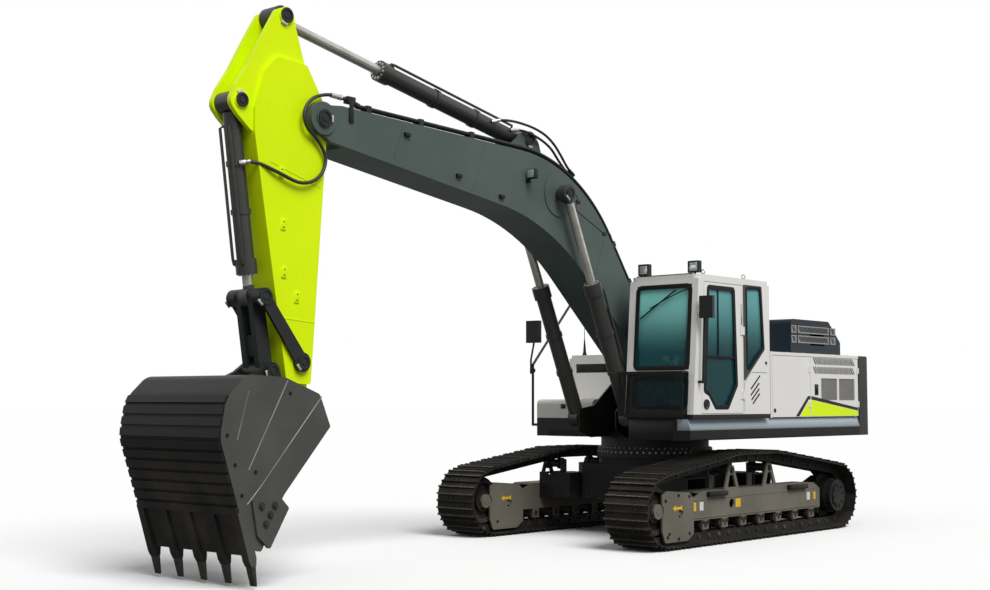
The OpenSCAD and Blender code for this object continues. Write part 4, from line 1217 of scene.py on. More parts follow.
class Slats(Rows):
    """Flat bars laid on a surface along a direction at every point."""

    title = "slat_rows"
    sizes = (("Length", "Float"), ("Width", "Float"), ("Depth", "Float"))
    tree = None

    @classmethod
    def form(cls, tree: NodeTree, begin: Node) -> NodeSocket:
        """One bar with its length along X.

        Args:
            tree: The tree.
            begin: Its input node.

        Returns:
            The form's output.
        """
        size = tree.nodes.new("ShaderNodeCombineXYZ")
        bar = tree.nodes.new("GeometryNodeMeshCube")
        for axis, (name, _) in zip("XYZ", cls.sizes):
            tree.links.new(begin.outputs[name], size.inputs[axis])
        tree.links.new(size.outputs[0], bar.inputs["Size"])
        return cls.lifted(tree, bar.outputs["Mesh"], begin.outputs["Depth"])

    @classmethod
    def turn(cls, tree: NodeTree) -> NodeSocket:
        """Turns each bar to its surface and its run.

        Args:
            tree: The tree.

        Returns:
            The rotation's output.
        """
        turned = tree.nodes.new("FunctionNodeAxesToRotation")
        turned.primary_axis, turned.secondary_axis = "Z", "X"
        tree.links.new(cls.read(tree, "facing"), turned.inputs[0])
        tree.links.new(cls.read(tree, "along"), turned.inputs[1])
        return turned.outputs[0]

    @classmethod
    def place(cls, name: str, body: str, points: Sequence[Vector], facing: Vector, along: Vector,
              size: Point, look: str, slot: Slot) -> Object:
        """Lays bars on points.

        Args:
            name: Name of the piece.
            body: Body that carries it.
            points: Middle of each bar's foot.
            facing: Direction out of the surface.
            along: Direction of the bars.
            size: Length, width and depth of a bar.
            look: Key of the finish.
            slot: Material slot of the record.

        Returns:
            The piece.
        """
        ways = {"facing": [facing] * len(points), "along": [along] * len(points)}
        values = dict(zip(("Length", "Width", "Depth"), size), Finish=Finishes.get(look))
        return cls.run(name, body, slot, points, ways, values)


def rounded(corners: Sequence[Flat], radius: float, steps: int = 5) -> List[Flat]:
    """Outline with rounded corners.

    Args:
        corners: Corners in order.
        radius: Corner radius.
        steps: Parts of each corner.

    Returns:
        The outline.
    """
    out: List[Flat] = []
    n = len(corners)
    for k in range(n):
        p = Vector(corners[k])
        a, b = ((Vector(c) - p).normalized() for c in (corners[k - 1], corners[(k + 1) % n]))
        half = a.angle(b) / 2
        cut = radius / math.tan(half)
        start, stop = p + a * cut, p + b * cut
        middle = p + (a + b).normalized() * radius / math.sin(half)
        for i in range(steps + 1):
            way = (start - middle).lerp(stop - middle, i / steps).normalized()
            out.append(tuple(middle + way * radius))
    return out


def grown(outline: Sequence[Flat], by: float) -> List[Flat]:
    """Outline moved outward, corner by corner.

    Args:
        outline: Corners in order.
        by: Distance, negative inward.

    Returns:
        The outline.
    """
    n = len(outline)
    pairs = zip(outline, [*outline[1:], outline[0]])
    sign = 1 if sum(a[0] * b[1] - b[0] * a[1] for a, b in pairs) > 0 else -1
    out = []
    for k in range(n):
        run = Vector(outline[(k + 1) % n]) - Vector(outline[k - 1])
        away = vec(run.y, -run.x).normalized() * by * sign
        out.append(tuple(Vector(outline[k]) + away))
    return out


def on_side(points: Sequence[Flat], y: float) -> List[Vector]:
    """XZ points put at a distance to the cab side."""
    return [vec(x, y, z) for x, z in points]


# Bodies that carry most of the fittings
BASE, UPPER, REAR_DOOR = "undercarriage", "upper", "service_door_rear"


@dataclass
class TrackPath:
    """Pin line of a track loop, as the CAD lays it out."""

    half: float = 2.02
    axle: float = 0.434
    radius: float = 0.34
    carrier_z: float = 0.851
    carrier_radius: float = 0.13
    carriers: Flat = (0.46, -0.42)
    shoes: int = 47
    arc_step: float = 4.0

    def line(self) -> List[Vector]:
        """Points of the belt line, anticlockwise from the sprocket's low side.

        Returns:
            The points in XZ.
        """
        belt = [(x, self.axle, self.radius) for x in (-self.half, self.half)]
        belt += [(x, self.carrier_z, self.carrier_radius) for x in self.carriers]

        def way(i: int) -> float:
            """Angle of the normal on a straight stretch.

            Args:
                i: Number of the wheel before it.

            Returns:
                The angle in degrees.
            """
            a, b = belt[i % 4], belt[(i + 1) % 4]
            run = vec(b[0] - a[0], b[1] - a[1])
            tangent = math.degrees(math.asin((a[2] - b[2]) / run.length))
            return math.degrees(math.atan2(run.y, run.x)) - 90 + tangent

        points: List[Vector] = []
        for i in range(4):
            c, a0, a1 = belt[(i + 1) % 4], way(i), way(i + 1)
            while a1 < a0 - 0.001:
                a1 += 360
            n = max(1, math.ceil((a1 - a0) / self.arc_step))
            for k in range(n + 1):
                t = math.radians(a0 + (a1 - a0) * k / n)
                points.append(vec(c[0], c[1]) + vec(math.cos(t), math.sin(t)) * c[2])
        return points

    def pins(self) -> List[Vector]:
        """Pin centres, equally far apart along the line.

        Returns:
            The points in XZ.
        """
        line = self.line()
        runs = [(line[(k + 1) % len(line)] - line[k]).length for k in range(len(line))]
        total = sum(runs)
        out, k, done = [], 0, 0.0
        for shoe in range(self.shoes):
            s = total * shoe / self.shoes
            while done + runs[k] < s:
                done += runs[k]
                k += 1
            out.append(line[k].lerp(line[(k + 1) % len(line)], (s - done) / runs[k]))
        return out


@dataclass
class Undercarriage:
    """Fasteners and marks of the tracks, frames and slewing ring."""

    gauge_half: float = 1.295
    shoe_rise: float = 0.064
    bolt_along: float = 0.038
    bolt_aside: Tuple[float, ...] = (-0.135, -0.065, 0.065, 0.135)
    frame_half: float = 0.155
    guard: float = 0.024
    plate: float = 0.002
    pin_half: float = 0.1215
    ring_radius: float = 0.74
    ring_bolt_count: int = 60
    hub_out: float = 0.2505
    hub_radius: float = 0.128
    roller_span: float = 2.92
    roller_bolt: float = 0.042
    bracket: float = 0.03
    path: TrackPath = field(default_factory=TrackPath)

    def shoe_bolts(self) -> None:
        """Four bolts on every shoe, and the link pins' ends."""
        pins = self.path.pins()
        bolts, ends = [], []
        for a, b in zip(pins, [*pins[1:], pins[0]]):
            run = (b - a).normalized()
            out = vec(run.y, -run.x)
            seat = (a + b) / 2 + out * (self.shoe_rise - 0.001)
            for side in SIDES:
                y = side * self.gauge_half
                for aside in self.bolt_aside:
                    at = seat + run * math.copysign(self.bolt_along, aside * side)
                    bolts.append((vec(at.x, y + aside, at.y), vec(out.x, 0, out.y)))
                ends += [(vec(a.x, y + way * self.pin_half, a.y), Y * way) for way in SIDES]
        Repeat.place("shoe_bolts", BASE, bolts, Head.HEX, 0.014, 0.013, "wheel", Slot.TRACK)
        Repeat.place("link_pin_ends", BASE, ends, Head.ROUND, 0.024, 0.012, "wheel", Slot.TRACK,
                     1.3)

    def ring_bolts(self) -> None:
        """Bolts round the slewing ring and in its lower flange."""
        n, r = self.ring_bolt_count, self.ring_radius
        low = [(p, Z) for p in circle(vec(0, 0, 1.079), Z, r - 0.022, n)]
        rim = [(p, vec(p.x, p.y, 0)) for p in circle(vec(0, 0, 1.03), Z, r - 0.002, n, 3)]
        Repeat.place("ring_bolts", BASE, low + rim, Head.HEX, 0.011, 0.012, "silver", Slot.BRIGHT,
                     1.25)

    def frame_marks(self) -> None:
        """Yellow arrows and blank plates on the track frames."""
        arrow, plates, blank = Solid(), Solid(), Solid()
        outline = [(1.76, 0.455), (1.70, 0.49), (1.70, 0.470), (1.60, 0.470), (1.57, 0.485),
                   (1.57, 0.425), (1.60, 0.440), (1.70, 0.440), (1.70, 0.42)]
        for side in SIDES:
            for way in SIDES:
                y = side * (self.gauge_half + way * (self.frame_half + self.guard))
                arrow.prism(on_side(outline, y), Y * self.plate * way * side)
            y = side * (self.gauge_half + self.frame_half)
            for mark, x, wide in ((plates, 1.27, 0.05), (plates, 0.33, 0.11),
                                  (plates, -1.54, 0.05), (blank, 1.13, 0.08),
                                  (blank, -1.38, 0.08)):
                mark.box((x - wide / 2, y, 0.40), (x + wide / 2, y + side * self.plate, 0.50))
        arrow.finish("idler_arrows", BASE, "yellow", Slot.GREY)
        plates.finish("yellow_plates", BASE, "yellow", Slot.GREY)
        blank.finish("blank_plates", BASE, "plate", Slot.GREY)

    def frame_fittings(self) -> None:
        """Step pads, welded edge strips and bolts on the track frames."""
        pads, strips, spots = Solid(), Solid(), []
        for side in SIDES:
            y = side * (self.gauge_half + self.frame_half)
            for x0, x1 in ((0.62, 1.02), (-1.30, -0.84)):
                pads.box((x0, y - side * 0.01, 0.555), (x1, y + side * 0.05, 0.612))
            strips.beam(vec(1.33, y, 0.318), vec(-1.62, y, 0.318), 0.012, 0.016, Y)
            strips.beam(vec(1.33, y, 0.52), vec(-1.56, y, 0.545), 0.010, 0.010, Y)
            guard = ((1.42, 0.16), (1.42, 0.58), (1.90, 0.55), (1.86, 0.14), (1.64, 0.60),
                     (1.64, 0.11))
            seats = on_side(guard, y + side * self.guard)
            hub = vec(-self.path.half, side * (self.gauge_half + self.hub_out), self.path.axle)
            seats += circle(hub, Y, self.hub_radius, 8, 10)
            rollers = [self.roller_span * (k / 7 - 0.5) for k in range(8)]
            seats += [vec(x + s * self.roller_bolt, y, 0.262) for x in rollers for s in (-1, 1)]
            spots += [(p, Y * side) for p in seats]
        self.carrier_brackets()
        pads.finish("step_pads", BASE, "carbody", Slot.BLACK, 0.006)
        strips.finish("frame_edge_strips", BASE, "frame", Slot.GREY, 0.003)
        Repeat.place("frame_bolts", BASE, spots, Head.HEX, 0.013, 0.014, "wheel", Slot.TRACK)

    def carrier_brackets(self) -> None:
        """A-shaped brackets that stand beside the carrier rollers."""
        stand, bolts = Solid(), []
        for side in SIDES:
            y = side * (self.gauge_half + self.frame_half - 0.035)
            for x in self.path.carriers:
                outer = [(x + 0.16, 0.60), (x - 0.18, 0.60), (x - 0.055, 0.90), (x + 0.045, 0.90)]
                inner = [(x + 0.085, 0.64), (x - 0.105, 0.64), (x - 0.045, 0.79),
                         (x + 0.035, 0.79)]
                out = Y * side
                stand.ring(on_side(outer, y), on_side(inner, y), out * self.bracket)
                bolts.append((vec(x - 0.005, y, 0.845) + out * self.bracket, out))
        stand.finish("carrier_brackets", BASE, "frame", Slot.GREY, 0.005)
        Repeat.place("carrier_caps", BASE, bolts, Head.ROUND, 0.03, 0.016, "wheel", Slot.TRACK,
                     1.3)

    def dress(self) -> None:
        """Builds everything on the undercarriage."""
        self.shoe_bolts()
        self.ring_bolts()
        self.frame_marks()
        self.frame_fittings()


@dataclass
class Upper:
    """Panels, grilles, latches and screws of the upper structure."""

    side: float = 1.49
    panel_top: float = 2.30
    film: float = 0.0015
    louvre_lean: float = 38.0
    louvre_count: int = 23
    bar_pitch: float = 0.022
    bar_count: int = 20
    hood_side: float = 1.2
    hood_rim: float = 0.012
    hood_pitch: float = 0.034

    def stripes(self) -> None:
        """Lime panels under black bands on the side doors."""
        front_door = "service_door_front"
        marks = (
            ("lime_panel", REAR_DOOR, "lime", Slot.LIME,
             [(-1.43, 1.483), (-2.715, 1.483), (-2.715, 1.545), (-1.43, 1.695)]),
            ("panel_band", REAR_DOOR, "black", Slot.BLACK,
             [(-1.43, 1.700), (-2.715, 1.550), (-2.715, 1.590), (-1.43, 1.745)]),
            ("panel_band_front", front_door, "black", Slot.BLACK,
             [(-1.405, 1.700), (-1.405, 1.745), (-1.34, 1.745), (-1.02, 1.483), (-1.11, 1.483),
              (-1.36, 1.700)]),
            ("lime_panel_front", front_door, "lime", Slot.LIME,
             [(-1.405, 1.695), (-1.405, 1.483), (-1.14, 1.483), (-1.36, 1.685)]))
        for name, body, look, slot, outline in marks:
            mark = Solid()
            mark.prism(on_side(outline, self.side), Y * self.film)
            mark.finish(name, body, look, slot)

    def louvres(self, name: str, body: str, side: int, rows: Sequence[float], length: float,
                first: float, step: float) -> None:
        """Slanted black bars on and between the pressed slots of a side door, painted as the shade
        in the slots.

        Args:
            name: Name of the piece.
            body: Door that carries it.
            side: 1 for the cab side, -1 for the other.
            rows: Heights of the rows.
            length: Length of a louvre.
            first: Place of the first pressed slot.
            step: Distance of the pressed slots.
        """
        lean = math.radians(self.louvre_lean)
        along = vec(math.sin(lean), 0, math.cos(lean))
        spots = [vec(first - step * k / 3, side * self.side, z)
                 for z in rows for k in range(self.louvre_count)]
        # painted shade: flat black bars stand for the shade in the slots
        Slats.place(name, body, spots, Y * side, along, (length, 0.019, self.film), "slot",
                    Slot.BLACK)

    def grilles(self) -> None:
        """Black sheets painted as the shade behind the door openings, bars and louvres of the
        doors, then the hood's grilles.
        """
        y = self.side
        # painted shade: black sheets behind the grille and the slots stand for the shade inside
        sheets = (("door_grille_painted_shade_sheet", REAR_DOOR, (-2.64, y - 0.040, 1.67), (-1.68, y - 0.036, 2.0)),
                  ("slot_painted_shade_sheet", REAR_DOOR, (-2.66, y - 0.046, 2.03), (-1.46, y - 0.042, 2.25)),
                  ("pump_door_painted_shade_sheet", "pump_door", (-2.66, 0.042 - y, 2.03),
                   (-1.46, 0.046 - y, 2.25)))
        for name, body, low, high in sheets:
            sheet = Solid()
            sheet.box(low, high)
            sheet.finish(name, body, "slot", Slot.BLACK)
        bars = [vec(x0 + self.bar_pitch * (k + 0.5), y - 0.014, 1.835)
                for x0 in (-2.627, -2.137) for k in range(self.bar_count)]
        Slats.place("door_grille_bars", REAR_DOOR, bars, Y, Z, (0.29, 0.014, 0.006), "backing",
                    Slot.GREY)
        self.louvres("door_louvre_painted_shade", REAR_DOOR, 1, (2.205, 2.085), 0.115, -1.528, 0.145)
        self.louvres("pump_door_louvre_painted_shade", "pump_door", -1, (2.12,), 0.125, -1.568, 0.14)
        self.hood_grilles()

    def hood_grilles(self) -> None:
        """Framed grilles on both sides of the hood, with slanted black slats painted as the shade
        between the blades.
        """
        frames, mesh = Solid(), Solid()
        slant = vec(0.45, 0, 0.89)
        for side, word in zip(SIDES, ("left", "right")):
            y, spots = side * self.hood_side, []
            for z0, z1 in ((2.455, 2.555), (2.585, 2.685)):
                for x0, x1 in ((-1.57, -1.44), (-2.46, -1.61), (-2.64, -2.50)):
                    outer = [(x0, z0), (x1, z0), (x1, z1), (x0, z1)]
                    inner = on_side(grown(outer, -self.hood_rim), y)
                    frames.ring(on_side(outer, y), inner, Y * 0.007 * side)
                    mesh.prism(inner, Y * 0.002 * side)
                    count = int((x1 - x0 - 0.05) / self.hood_pitch)
                    middle = vec((x0 + x1) / 2, y + side * 0.002, (z0 + z1) / 2)
                    spots += [middle + X * self.hood_pitch * (k - (count - 1) / 2)
                              for k in range(count)]
            # painted shade: black slats stand for the shade in the grille's gaps
            Slats.place(f"hood_slat_painted_shade_{word}", "engine_hood", spots, Y * side, slant,
                        (0.072, 0.017, 0.003), "slot", Slot.BLACK)
        mesh.finish("hood_mesh", "engine_hood", "backing", Slot.BRIGHT)
        frames.finish("hood_grille_frames", "engine_hood", "silver", Slot.BRIGHT, 0.001)

    def latches(self) -> None:
        """Latches and locks on doors, tank and tool box."""
        latch = Solid()
        latch.box((-1.61, self.side, 1.76), (-1.52, self.side + 0.008, 1.90))
        latch.box((-1.585, self.side + 0.008, 1.79), (-1.545, self.side + 0.018, 1.85))
        latch.finish("rear_door_latch", REAR_DOOR, "black", Slot.BLACK, 0.003)
        for name, body, at, radius in (
                ("cab_rear_lock", UPPER, vec(-0.23, 1.53, 2.15), 0.016),
                ("front_door_locks", "service_door_front", vec(-0.50, self.side, 1.56), 0.020)):
            Repeat.place(name, body, [(at, Y)], Head.ROUND, radius, 0.008, "black", Slot.BLACK, 1.4)
        lid = Solid()
        lid.box((0.60, -1.08, 1.575), (0.606, -1.0, 1.635))
        lid.box((0.606, -1.065, 1.59), (0.614, -1.015, 1.61))
        lid.finish("tool_lid_latch", "tool_box_lid", "black", Slot.BLACK, 0.002)
        tank = Solid()
        for x, y, low, high, radius, sides, top in (
                (-0.45, -1.0, 2.3, 2.335, 0.07, 32, 0.065),
                (-0.90, -1.0, 2.3, 2.335, 0.07, 32, 0.065),
                (-0.30, -1.38, 2.3, 2.34, 0.032, 20, 0.026),
                (-0.30, -1.38, 2.34, 2.52, 0.022, 16, 0.008),
                (-0.30, -1.38, 2.52, 2.72, 0.006, 10, 0.003)):
            tank.disc(vec(x, y, low), vec(x, y, high), radius, sides, top)
        tank.finish("tank_caps_and_aerial", UPPER, "black", Slot.BLACK)

    def sill_cover(self) -> None:
        """Dark plate that closes the deck's front below the cab."""
        plate = Solid()
        plate.box((1.352, 0.575, 1.225), (1.362, 1.40, 1.462))
        plate.box((1.362, 0.60, 1.25), (1.366, 1.375, 1.44))
        plate.finish("front_sill_cover", UPPER, "black", Slot.BLACK, 0.002)

    def seams(self) -> None:
        """Screws along the deck and on the hood."""
        spots = [(vec(x, s * y, self.panel_top), Z)
                 for s in SIDES for x in (-2.5, -2.1, -1.7) for y in (1.25, 1.45)]
        spots += [(vec(x, 1.45, self.panel_top), Z) for x in (-1.3, -0.9, -0.5)]
        Repeat.place("deck_screws", UPPER, spots, Head.HEX, 0.010, 0.008, "zinc", Slot.BRIGHT)
        spots = [(vec(x, s * 1.05, 2.7705), Z) for x in (-2.05, -1.6) for s in SIDES]
        Repeat.place("hood_screws", "engine_hood", spots, Head.HEX, 0.010, 0.008, "zinc",
                     Slot.BRIGHT)

    def dress(self) -> None:
        """Builds everything on the upper structure."""
        self.stripes()
        self.grilles()
        self.latches()
        self.sill_cover()
        self.seams()


@dataclass
class Cab:
    """Seals, lamps, wiper, handles and seat of the cab."""

    outer: float = 1.53
    inner: float = 0.55
    front: float = 1.41
    lean: float = 0.14
    low: float = 1.47
    height: float = 1.70
    seal: float = 0.008
    trim: float = 0.002
    channel: float = 0.55
    pull: float = 0.05

    def front_x(self, z: float) -> float:
        """Place of the cab's front face at a height."""
        return self.front - self.lean * (z - self.low) / self.height

    def on_front(self, points: Sequence[Flat], out: float) -> List[Vector]:
        """Points of the leaning front, given as Y and Z.

        Args:
            points: Y and Z of each.
            out: Distance in front of the face.

        Returns:
            The points.
        """
        return [vec(self.front_x(z) + out, y, z) for y, z in points]

    def seals(self) -> None:
        """Black seals round the panes, and the trim of two of them."""
        fixed, door = Solid(), Solid()
        lower = rounded([(0.665, 1.59), (1.435, 1.59), (1.435, 1.975), (0.665, 1.975)], 0.06)
        screen = rounded([(0.665, 2.055), (1.435, 2.055), (1.435, 3.045), (0.665, 3.045)], 0.06)
        for pane, out, lap in ((screen, 0.018, 0.035), (lower, 0.014, 0.03)):
            fixed.ring(*(self.on_front(grown(pane, by), -0.006) for by in (out, -lap)), X * 0.010)
        quarter = rounded([(0.235, 3.075), (-0.12, 3.09), (-0.18, 2.33), (0.230, 2.0)], 0.05)
        right = rounded([(-0.17, 1.95), (1.23, 1.95), (1.19, 3.05), (-0.17, 3.05)], 0.06)
        pane = rounded([(0.495, 3.04), (1.08, 3.04), (1.175, 1.79), (1.07, 1.75), (0.93, 1.59),
                        (0.655, 1.59), (0.445, 1.87)], 0.04)
        left = self.outer - self.seal / 2
        for solid, line, y, out, lap, push in (
                (fixed, quarter, left, 0.004, 0.03, Y), (door, pane, left, 0.012, 0.038, Y),
                (fixed, right, self.inner + self.seal / 2, 0.015, 0.03, -Y)):
            solid.ring(*(on_side(grown(line, by), y) for by in (out, -lap)), push * self.seal)
        rail, post = self.outer - 0.012, self.outer - 0.014
        door.beam(vec(0.46, rail, 2.2), vec(1.14, rail, 2.2), 0.03, 0.016, Y)
        door.beam(vec(0.84, post, 2.2), vec(0.84, post, 3.03), 0.02, 0.012, Y)
        panel, border = Solid(), Solid()
        edge = rounded([(0.56, 1.485), (1.445, 1.485), (1.445, 2.03), (0.56, 2.03)], 0.03)
        panel.ring(self.on_front(edge, 0.0), self.on_front(lower, 0.0), X * self.trim)
        panel.finish("front_lower_trim", UPPER, "trim", Slot.BLACK)
        edge = rounded([(0.296, 3.10), (-0.14, 3.10), (-0.20, 2.315), (0.296, 1.905)], 0.02)
        border.ring(on_side(edge, self.outer), on_side(quarter, self.outer), Y * self.trim)
        border.finish("quarter_trim", UPPER, "trim", Slot.BLACK)
        fixed.finish("window_seals", UPPER, "rubber", Slot.BLACK, 0.002)
        door.finish("door_seals", "cab_door", "rubber", Slot.BLACK, 0.002)

    def door_fittings(self) -> None:
        """Handle, lock and round lamp of the door."""
        handle, lamp, y = Solid(), Solid(), self.outer
        handle.box((0.325, y - 0.001, 2.60), (0.350, y + 0.006, 2.86))
        handle.box((0.330, y + 0.006, 2.66), (0.345, y + 0.010, 2.72))
        handle.box((1.165, y - 0.001, 2.00), (1.20, y + 0.008, 2.12))
        handle.finish("door_handle", "cab_door", "zinc", Slot.BRIGHT, 0.001)
        at = vec(1.13, y - 0.001, 1.64)
        lamp.ring(circle(at, Y, 0.058, 32), circle(at, Y, 0.044, 32), Y * 0.014)
        lamp.disc(at, at + Y * 0.007, 0.043, 32, 0.030)
        lamp.finish("door_lamp", "cab_door", "black", Slot.BLACK)

    def slots(self) -> None:
        """Four slanted black bars and a dark groove line, painted as the shade in the slots and the
        groove, on the panel below the quarter window.
        """
        marks = Solid()
        for x, z, run in ((-0.08, 1.99, 0.25), (-0.06, 1.90, 0.23), (-0.06, 1.83, 0.21),
                          (-0.07, 1.77, 0.19)):
            high = vec(x, self.outer, z)
            # painted shade: black bars stand for the shade in the slots
            marks.beam(high, high + vec(0.86, 0, -0.66) * run, 0.022, 0.004, Y)
        marks.finish("panel_slot_painted_shade", UPPER, "black", Slot.BLACK)
        line = Solid()
        path = on_side([(0.28, 1.55), (0.28, 1.90), (0.12, 2.03), (-0.25, 2.03)], self.outer)
        for a, b in zip(path, path[1:]):
            # painted shade: a dark line in the groove
            line.beam(a, b, 0.006, 0.002, Y)
        line.finish("panel_groove_painted_shade", UPPER, "boom", Slot.GREY)

    def roof(self) -> None:
        """Eye bolts, lamp lenses and rain strip."""
        eyes, lens, strip = Solid(), Solid(), Solid()
        for x, y in ((1.05, 1.45), (0.15, 1.45), (1.05, 0.63), (0.15, 0.63)):
            eyes.disc(vec(x, y, 3.17), vec(x, y, 3.185), 0.022, 16)
            eyes.tube(circle(vec(x, y, 3.21), X, 0.024, 18), 0.007, 8, True)
        eyes.finish("roof_eye_bolts", UPPER, "zinc", Slot.BRIGHT)
        for y in (0.68, 1.40):
            lens.box((1.18, y - 0.056, 3.214), (1.188, y + 0.056, 3.316))
        lens.finish("lamp_lenses", UPPER, "lens", Slot.GLASS, 0.002)
        strip.beam(vec(1.262, 0.64, 3.172), vec(1.262, 1.44, 3.172), 0.016, 0.02, Z)
        strip.finish("rain_strip", UPPER, "rubber", Slot.BLACK, 0.003)

    def mirror_glass(self) -> None:
        """Mirror plates in the recesses of both heads."""
        glass = Solid()
        turn = Matrix.Rotation(math.radians(8), 4, "Z")
        for middle, wide, high in (((0.51, -1.622, 2.61), 0.21, 0.30),
                                   ((1.315, 1.67, 2.77), 0.17, 0.26)):
            w, h = wide / 2 - 0.017, high / 2 - 0.017
            place = Matrix.Translation(middle) @ turn
            corners = ((-w, -h), (w, -h), (w, h), (-w, h))
            glass.prism([place @ vec(-0.022, y, z) for y, z in corners],
                        turn.to_3x3() @ vec(0.004, 0, 0))
        glass.finish("mirror_glass", UPPER, "lens", Slot.GLASS)

    def wiper(self) -> None:
        """Wiper arm, hub and blade on the windscreen."""
        arm = Solid()
        hub, mid, tip = self.on_front([(1.40, 3.0), (1.12, 2.90), (0.86, 2.78)], 0.012)
        arm.tube([hub, mid, tip], 0.007, 8)
        arm.disc(hub - X * 0.016, hub + X * 0.014, 0.02, 16)
        a, b = self.on_front([(1.22, 2.99), (0.72, 2.66)], 0.008)
        arm.beam(a, b, 0.016, 0.010, X)
        arm.finish("wiper", UPPER, "black", Slot.BLACK)

    def cushion(self, size: Point) -> bmesh.types.BMesh:
        """Crowned block of unit size with a sewn channel along either side.

        Args:
            size: Size it will be given, whose least axis is the crowned one.

        Returns:
            The mesh, to be moved and freed by the caller.
        """
        bm = bmesh.new()
        bmesh.ops.create_cube(bm, size=1.0)
        bmesh.ops.subdivide_edges(bm, edges=bm.edges, cuts=9, use_grid_fill=True)
        thin = size.index(min(size))
        a, b = (axis for axis in range(3) if axis != thin)
        for v in bm.verts:
            u, w = v.co[a] * 2, v.co[b] * 2
            crown = (1 - u * u) * (1 - w * w)
            channel = math.exp(-((abs(w) - self.channel) / 0.05) ** 2)
            v.co[thin] *= 0.72 + 0.28 * crown - 0.05 * channel
            v.co[a] *= 1 - self.pull * (1 - w * w)
            v.co[b] *= 1 - self.pull * (1 - u * u)
        return bm

    def seat(self) -> None:
        """Crowned seat cushion, backrest and headrest in place of the plain solid."""
        y0 = self.inner + 0.5
        forms = (((0.385, y0, 1.925), (0.47, 0.48, 0.125), 0.0),
                 ((0.125, y0, 2.235), (0.13, 0.46, 0.66), -7.5),
                 ((0.085, y0, 2.655), (0.075, 0.26, 0.2), -6.0))
        for k, (middle, size, lean) in enumerate(forms):
            bm = self.cushion(size)
            turn = Matrix.Rotation(math.radians(lean), 4, "Y")
            bm.transform(Matrix.Translation(middle) @ turn @ Matrix.Diagonal((*size, 1)))
            mesh = bpy.data.meshes.new(f"seat_pad_{k}")
            bm.to_mesh(mesh)
            bm.free()
            mesh.materials.append(Finishes.get("cloth"))
            pad = bpy.data.objects.new(f"seat_pad_{k}", mesh)
            bpy.context.scene.collection.objects.link(pad)
            fine = pad.modifiers.new("round", "SUBSURF")
            fine.levels = fine.render_levels = 1
            bake(pad)
            shade(pad.data, 60)
            settle(pad, UPPER)
        base = Solid()
        base.box((0.24, y0 - 0.16, 1.52), (0.53, y0 + 0.16, 1.70))
        base.box((0.28, y0 - 0.13, 1.70), (0.50, y0 + 0.13, 1.86))
        stand = base.finish("seat_base", UPPER, "plastic", Slot.PLASTIC, 0.012)
        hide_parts("seat")

    def inside(self) -> None:
        """Monitor, console tops and lever gaiters behind the glass."""
        desk = Solid()
        desk.box((1.02, 0.66, 2.12), (1.06, 0.84, 2.30))
        desk.beam(vec(1.06, 0.75, 1.56), vec(1.06, 0.75, 2.14), 0.04, 0.04, X)
        for y in (self.inner + 0.175, self.inner + 0.825):
            desk.disc(vec(0.66, y, 2.08), vec(0.66, y, 2.14), 0.045, 20, 0.02)
            desk.box((0.26, y - 0.05, 2.08), (0.56, y + 0.05, 2.10))
        desk.finish("cab_fittings", UPPER, "plastic", Slot.PLASTIC, 0.004)

    def dress(self) -> None:
        """Builds everything on the cab."""
        self.seals()
        self.door_fittings()
        self.slots()
        self.roof()
        self.mirror_glass()
        self.wiper()
        self.seat()
        self.inside()


@dataclass
class PinCap:
    """Cap plate, collar and lock bar at a pin's end."""

    at: Vector
    body: str
    radius: float
    lock: float

    def build(self, caps: Dict[str, Solid], locks: Dict[str, Solid]) -> None:
        """Adds the forms of both ends.

        Args:
            caps: Cap solids by body.
            locks: Lock bar solids by body.
        """
        for side in SIDES:
            out = Y * side
            p = vec(self.at.x, side * self.at.y, self.at.z)
            cap, rim = caps[self.body], p + out * 0.004
            cap.disc(p - out * 0.002, p + out * 0.005, self.radius, 32)
            cap.ring(*(circle(rim, out, self.radius * part, 32) for part in (1, 0.7)), out * 0.01)
            cap.disc(rim, rim + out * 0.008, self.radius * 0.5, 24, self.radius * 0.42)
            way = vec(math.cos(self.lock), 0, math.sin(self.lock))
            across = vec(-way.z, 0, way.x)
            foot = p + way * self.radius * 1.12
            locks[self.body].beam(foot - across * 0.035, foot + across * 0.035, 0.03, 0.016, out)


def smooth(points: Sequence[Vector], parts: int) -> List[Vector]:
    """Smooth line through points.

    Args:
        points: Points that it passes.
        parts: Parts of each stretch.

    Returns:
        The line's points.
    """
    ends = [points[0] * 2 - points[1], *points, points[-1] * 2 - points[-2]]
    line = []
    for k in range(1, len(ends) - 2):
        a, b, c, d = ends[k - 1:k + 3]
        for i in range(parts):
            t = i / parts
            line.append(b + (c - a) * t / 2 + (a * 2 - b * 5 + c * 4 - d) * t * t / 2
                        + (b * 3 - a - c * 3 + d) * t * t * t / 2)
    return [*line, points[-1]]


@dataclass
class Hose:
    """Hose laid between two bodies, with a nut at either end."""

    name: str
    route: Tuple[Point, ...]
    bodies: Tuple[str, str]
    nuts: Tuple[str, str]
    turn_start: Point
    turn_end: Point
    radius: float = 0.018
    parts: int = 4
    nut_length: float = 0.06
    sleeve: float = 0.045

    def build(self) -> None:
        """Builds the hose first, then its end nuts."""
        points = [Vector(p) for p in self.route]
        line = smooth(points, self.parts)
        tube = Solid()
        tube.tube(line, self.radius, 12)
        hose = tube.piece(self.name, "hose")
        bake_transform(hose)
        log.info("%s from %s to %s: %d faces", self.name, *self.bodies, len(hose.data.polygons))
        length = sum((b - a).length for a, b in zip(line, line[1:]))
        for tag, body, look, a, b in (("a", self.nuts[0], "charcoal", line[0], line[2]),
                                      ("b", self.nuts[1], "zinc", line[-1], line[-3])):
            run = (b - a).normalized()
            nut, neck = Solid(), a + run * self.nut_length
            nut.disc(a, neck, self.radius * 1.65, 6)
            nut.disc(neck, neck + run * self.sleeve, self.radius + 0.005, 20)
            nut.finish(f"{self.name}_nut_{tag}", body, look, Slot.BRIGHT, 0.002)


